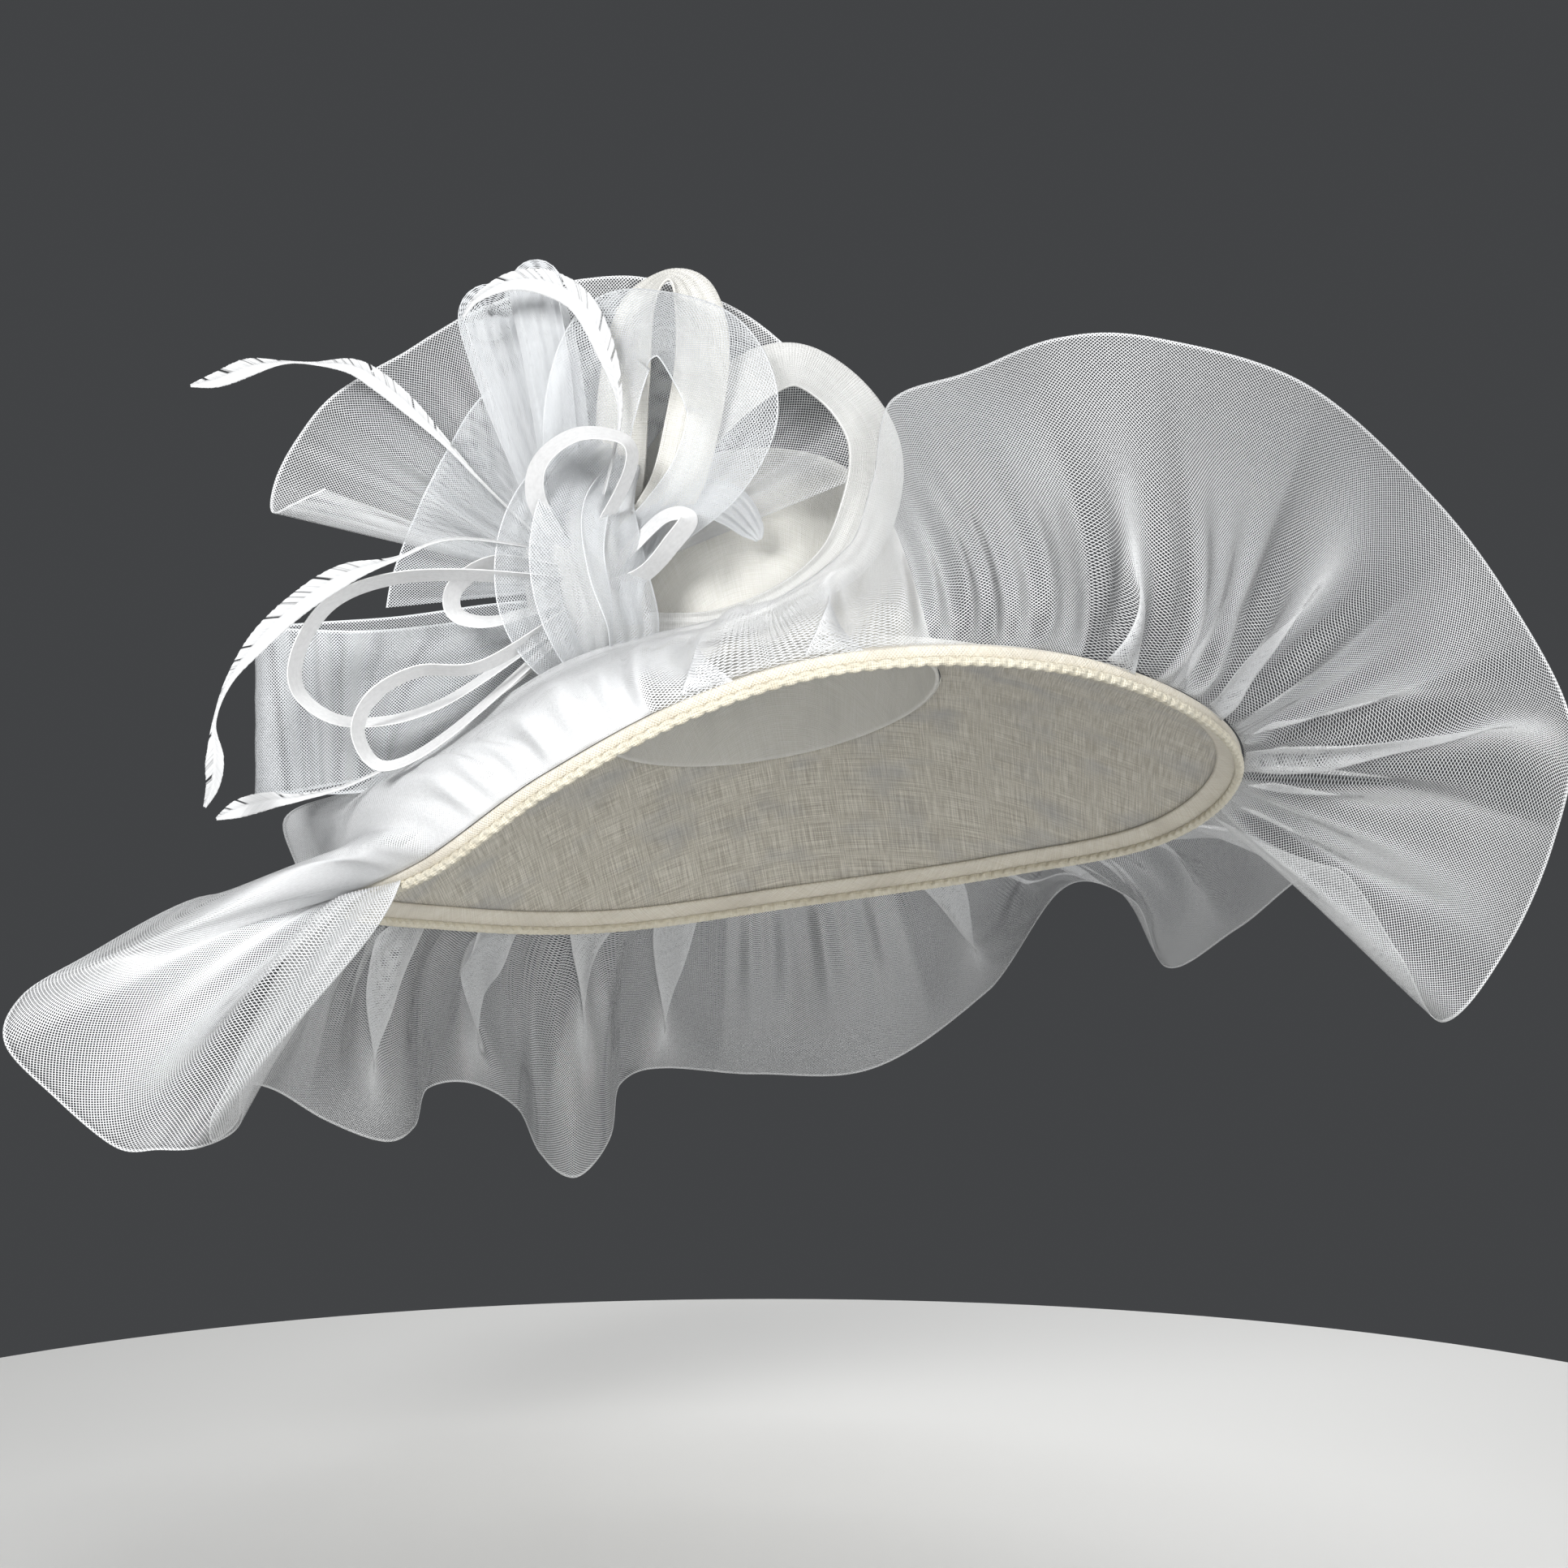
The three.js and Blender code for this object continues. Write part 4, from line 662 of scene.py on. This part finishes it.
# Ribbon loops: five loops of a narrow woven ribbon of the same white, finer and denser than the
# crin, knotted into the front of the bow.
ribbon_width = 13.0
ribbon_rows = [np.array(rows, float) for rows in (
    [[-0.06, 0.24, 0.1, 1, 40], [-0.14, 0.37, 0.26, 1, 44], [-0.12, 0.42, 0.38, 1, 40],
     [0.0, 0.45, 0.46, 1, 34], [0.15, 0.46, 0.44, 1, 25], [0.16, 0.41, 0.34, 1, 20],
     [0.04, 0.24, 0.14, 1, 20]],
    [[-0.08, 0.23, 0.04, 1, 20], [-0.27, 0.33, 0.06, 1, 25], [-0.4, 0.35, -0.02, 1, 30],
     [-0.4, 0.34, -0.11, 1, 30], [-0.28, 0.31, -0.13, 1, 25], [-0.08, 0.23, -0.06, 1, 20]],
    [[-0.06, 0.24, 0.0, 1, 20], [-0.36, 0.46, 0.01, 1, 20], [-0.6, 0.53, -0.01, 1, 20],
     [-0.78, 0.56, -0.09, 1, 20], [-0.88, 0.56, -0.25, 1, 20], [-0.87, 0.53, -0.38, 1, 20],
     [-0.72, 0.46, -0.46, 1, 20], [-0.45, 0.37, -0.4, 1, 20], [-0.09, 0.17, -0.14, 1, 20]],
    [[-0.04, 0.24, -0.1, 1, 20], [-0.3, 0.48, -0.28, 1, 20], [-0.5, 0.55, -0.3, 1, 20],
     [-0.64, 0.57, -0.38, 1, 20], [-0.69, 0.55, -0.5, 1, 20], [-0.61, 0.5, -0.6, 1, 20],
     [-0.4, 0.49, -0.49, 1, 20], [-0.05, 0.2, -0.15, 1, 20]],
    [[0.08, 0.19, 0.03, 1, 30], [0.26, 0.32, 0.2, 1, 30], [0.35, 0.37, 0.2, 1, 35],
     [0.3, 0.39, 0.12, 1, 35], [0.2, 0.32, 0.02, 1, 30], [0.05, 0.23, -0.03, 1, 30]],
)]
white_ribbon = net_finish("white ribbon", 1.0, 0.92, (0.95, 0.95, 0.95, 1), roughness=0.4)
for count, rows in enumerate(ribbon_rows, 1):
    name = f"ribbon_loop_{count}"
    lay_strip(name + "_cloth", rows, ribbon_width, white_ribbon, 0.5, name, columns=7)

# Feathers: four white wing quills stripped to a bare shaft and cut to two leaf shapes. Their
# barbs slant towards the tip and split here and there; the shafts go into the knot.
feather_width = 11.5
feather_rows = [np.array(rows, float) for rows in (
    [[-0.08, 0.0, 0.09, 0.12, 90], [-0.33, 0.03, 0.33, 0.12, 90], [-0.46, 0.05, 0.47, 0.3, 90],
     [-0.58, 0.04, 0.59, 0.7, 90], [-0.69, 0.04, 0.68, 0.8, 90], [-0.78, 0.03, 0.73, 0.6, 90],
     [-0.9, 0.03, 0.74, 0.14, 90], [-1.0, 0.02, 0.745, 0.14, 90], [-1.12, 0.01, 0.73, 0.75, 90],
     [-1.23, 0.0, 0.69, 0.6, 90], [-1.32, 0.0, 0.67, 0.1, 90]],
    [[-0.06, 0.22, 0.1, 0.12, 90], [-0.38, 0.54, 0.12, 0.12, 90], [-0.57, 0.6, 0.05, 0.2, 90],
     [-0.72, 0.63, 0.0, 0.85, 90], [-0.86, 0.64, -0.09, 0.9, 90], [-0.98, 0.64, -0.2, 0.8, 90],
     [-1.08, 0.64, -0.33, 0.3, 90], [-1.13, 0.63, -0.46, 0.14, 90], [-1.13, 0.62, -0.57, 0.7, 90],
     [-1.14, 0.6, -0.66, 0.5, 90], [-1.17, 0.58, -0.73, 0.1, 90]],
    [[-0.06, 0.19, -0.2, 0.12, 90], [-0.44, 0.34, -0.5, 0.12, 90], [-0.72, 0.37, -0.65, 0.14, 90],
     [-0.9, 0.36, -0.7, 0.3, 90], [-1.0, 0.34, -0.71, 0.7, 90], [-1.1, 0.32, -0.735, 0.7, 90],
     [-1.18, 0.31, -0.77, 0.1, 90]],
    [[0.03, 0.22, 0.15, 0.12, 90], [0.1, 0.33, 0.38, 0.12, 90], [0.13, 0.38, 0.55, 0.2, 90],
     [0.09, 0.4, 0.72, 0.8, 90], [0.01, 0.4, 0.88, 1.0, 90], [-0.1, 0.39, 0.95, 1.0, 90],
     [-0.22, 0.37, 0.96, 0.7, 90], [-0.33, 0.35, 0.91, 0.3, 90], [-0.38, 0.33, 0.85, 0.1, 90]],
)]


def plume_finish():
    """Feather: fine barbs that slant from the shaft, with splits that let light through."""
    finish, tree, shader = start_finish("white plume", 0.6, 0.4)
    vane = wire(tree, "ShaderNodeUVMap", {"uv_map": "cloth"}).outputs[0]
    flat = wire(tree, "ShaderNodeSeparateXYZ", Vector=vane)
    off = wire(tree, "ShaderNodeMath", {"operation": "ABSOLUTE"}, _0=flat.outputs[1]).outputs[0]
    slant = wire(tree, "ShaderNodeMath", {"operation": "MULTIPLY_ADD"}, _0=off, _1=-1.3,
                 _2=flat.outputs[0]).outputs[0]
    half = wire(tree, "ShaderNodeMath", {"operation": "SIGN"}, _0=flat.outputs[1]).outputs[0]
    barbs = wire(tree, "ShaderNodeCombineXYZ", X=slant, Y=half)
    fine = wire(tree, "ShaderNodeTexNoise", Vector=barbs.outputs[0], Scale=520.0,
                Detail=3.0).outputs[0]
    split = wire(tree, "ShaderNodeTexNoise", Vector=barbs.outputs[0], Scale=260.0,
                 Detail=2.0).outputs[0]
    gap = wire(tree, "ShaderNodeMapRange", Value=split, From_Min=0.38, From_Max=0.47)
    shaft = wire(tree, "ShaderNodeMapRange", Value=off, From_Min=0.0012, From_Max=0.0007)
    lead = wire(tree, "ShaderNodeMapRange", Value=flat.outputs[1], From_Min=0.0008, From_Max=0.0)
    kept = wire(tree, "ShaderNodeMath", {"operation": "MAXIMUM"}, _0=gap.outputs[0],
                _1=lead.outputs[0]).outputs[0]
    whole = wire(tree, "ShaderNodeMath", {"operation": "MAXIMUM"}, _0=kept,
                 _1=shaft.outputs[0]).outputs[0]
    tree.links.new(whole, shader.inputs["Alpha"])
    tint = wire(tree, "ShaderNodeMix", {"data_type": "RGBA"}, _0=fine, _6=(0.42, 0.43, 0.44, 1),
                _7=(0.84, 0.84, 0.84, 1))
    tree.links.new(tint.outputs[2], shader.inputs["Base Color"])
    bump = wire(tree, "ShaderNodeBump", Height=fine, Strength=0.6, Distance=0.0003)
    tree.links.new(bump.outputs[0], shader.inputs["Normal"])
    return finish


white_plume = plume_finish()


def lay_feather(name, rows, node):
    """A vane along a middle line, as a thin leaf that is thickest at the shaft and cupped a
    little across, with its edge notched by the barbs."""
    line = smooth_through(rows, np.linspace(0, len(rows) - 1, 22 * (len(rows) - 1) + 1))
    middle = knot + bow_reach * np.stack([line[:, 0], -line[:, 1], line[:, 2]], axis=-1)
    way = np.gradient(middle, axis=0)
    way /= np.linalg.norm(way, axis=1, keepdims=True)
    side = np.cross(way, np.array([0.0, -1.0, 0.0]))
    side /= np.linalg.norm(side, axis=1, keepdims=True)
    face = np.cross(way, side)
    across = np.linspace(-0.5, 0.5, 11)
    run = np.concatenate([[0], np.cumsum(np.linalg.norm(np.diff(middle, axis=0), axis=1))])[:, None]
    notch = 1 + 0.03 * np.sin(1.9 * run) * np.sin(0.43 * run + 1) + 0.02 * np.sin(4.1 * run)
    wide = feather_width * np.clip(line[:, 3:4], 0.08, None)
    half = wide * across * np.where(np.abs(across) > 0.45, notch, 1)
    slip = 0.35 * np.abs(half)
    ridge = 0.7 * np.exp(-(half / 0.9)**2)
    cup = 0.12 * np.abs(half) * (1 + 0.4 * np.sin(0.2 * run))
    grid = (middle[:, None] + half[..., None] * side[:, None] + slip[..., None] * way[:, None]
            + (ridge - cup)[..., None] * face[:, None])
    flat = np.stack(np.broadcast_arrays(run + slip, half), axis=-1)
    piece = lay_cloth(name, grid, flat, [white_plume], 0.35)
    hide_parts(node)
    return piece


for count, rows in enumerate(feather_rows, 1):
    lay_feather(f"feather_{count}_vane", rows, f"feather_{count}")

# Studio: a plain pale floor at the height of the stand's foot, a grey room, and soft light.
floor_radius, floor_height = 0.6, -0.386
floor_mesh = bpy.data.meshes.new("floor")
rim_turn = np.linspace(0, 2 * np.pi, 129)[:-1]
floor_points = np.stack([floor_radius * np.cos(rim_turn), floor_radius * np.sin(rim_turn),
                         0 * rim_turn + floor_height], axis=-1)
floor_mesh.from_pydata(floor_points.tolist(), [], [list(range(len(rim_turn)))])
floor = bpy.data.objects.new("floor", floor_mesh)
bpy.context.collection.objects.link(floor)
pale, pale_tree, pale_shader = start_finish("pale floor", 0.6, 0.0)
pale_shader.inputs["Base Color"].default_value = (0.62, 0.62, 0.61, 1)
floor_mesh.materials.append(pale)

scene = bpy.context.scene
room = bpy.data.worlds.new("room")
room.use_nodes = True
room.node_tree.nodes["Background"].inputs[0].default_value = (0.055, 0.057, 0.06, 1)
scene.world = room
scene.view_settings.view_transform = "Standard"
scene.cycles.transparent_max_bounces = 40


def hang_lamp(name, place, aim, size, power):
    """A square soft light at a place, turned towards a point."""
    lamp = bpy.data.lights.new(name, "AREA")
    lamp.size, lamp.energy = size, power
    piece = bpy.data.objects.new(name, lamp)
    bpy.context.collection.objects.link(piece)
    piece.location = place
    toward = np.array(aim) - np.array(place)
    piece.rotation_euler = Vector(toward).to_track_quat("-Z", "Y").to_euler()


hang_lamp("key", (-0.9, -2.1, 0.9), (0, 0, 0), 0.7, 58)
hang_lamp("fill", (1.3, -1.8, 0.5), (0, 0, 0), 1.2, 27)
hang_lamp("low", (0.0, -1.7, -0.5), (0, 0, 0), 0.8, 7)
hang_lamp("back", (0.4, 1.8, 1.2), (0, 0, 0), 1.2, 38)

photo_width, focal_length = 1932, 4000  # in the photo's pixels
lens = bpy.data.cameras.new("camera")
lens.sensor_width, lens.lens = 36, focal_length / photo_width * 36
camera = bpy.data.objects.new("camera", lens)
bpy.context.collection.objects.link(camera)
camera.location, camera.rotation_euler = (0.008, -1.6, -0.037), (np.pi / 2, 0, 0)
scene.camera = camera
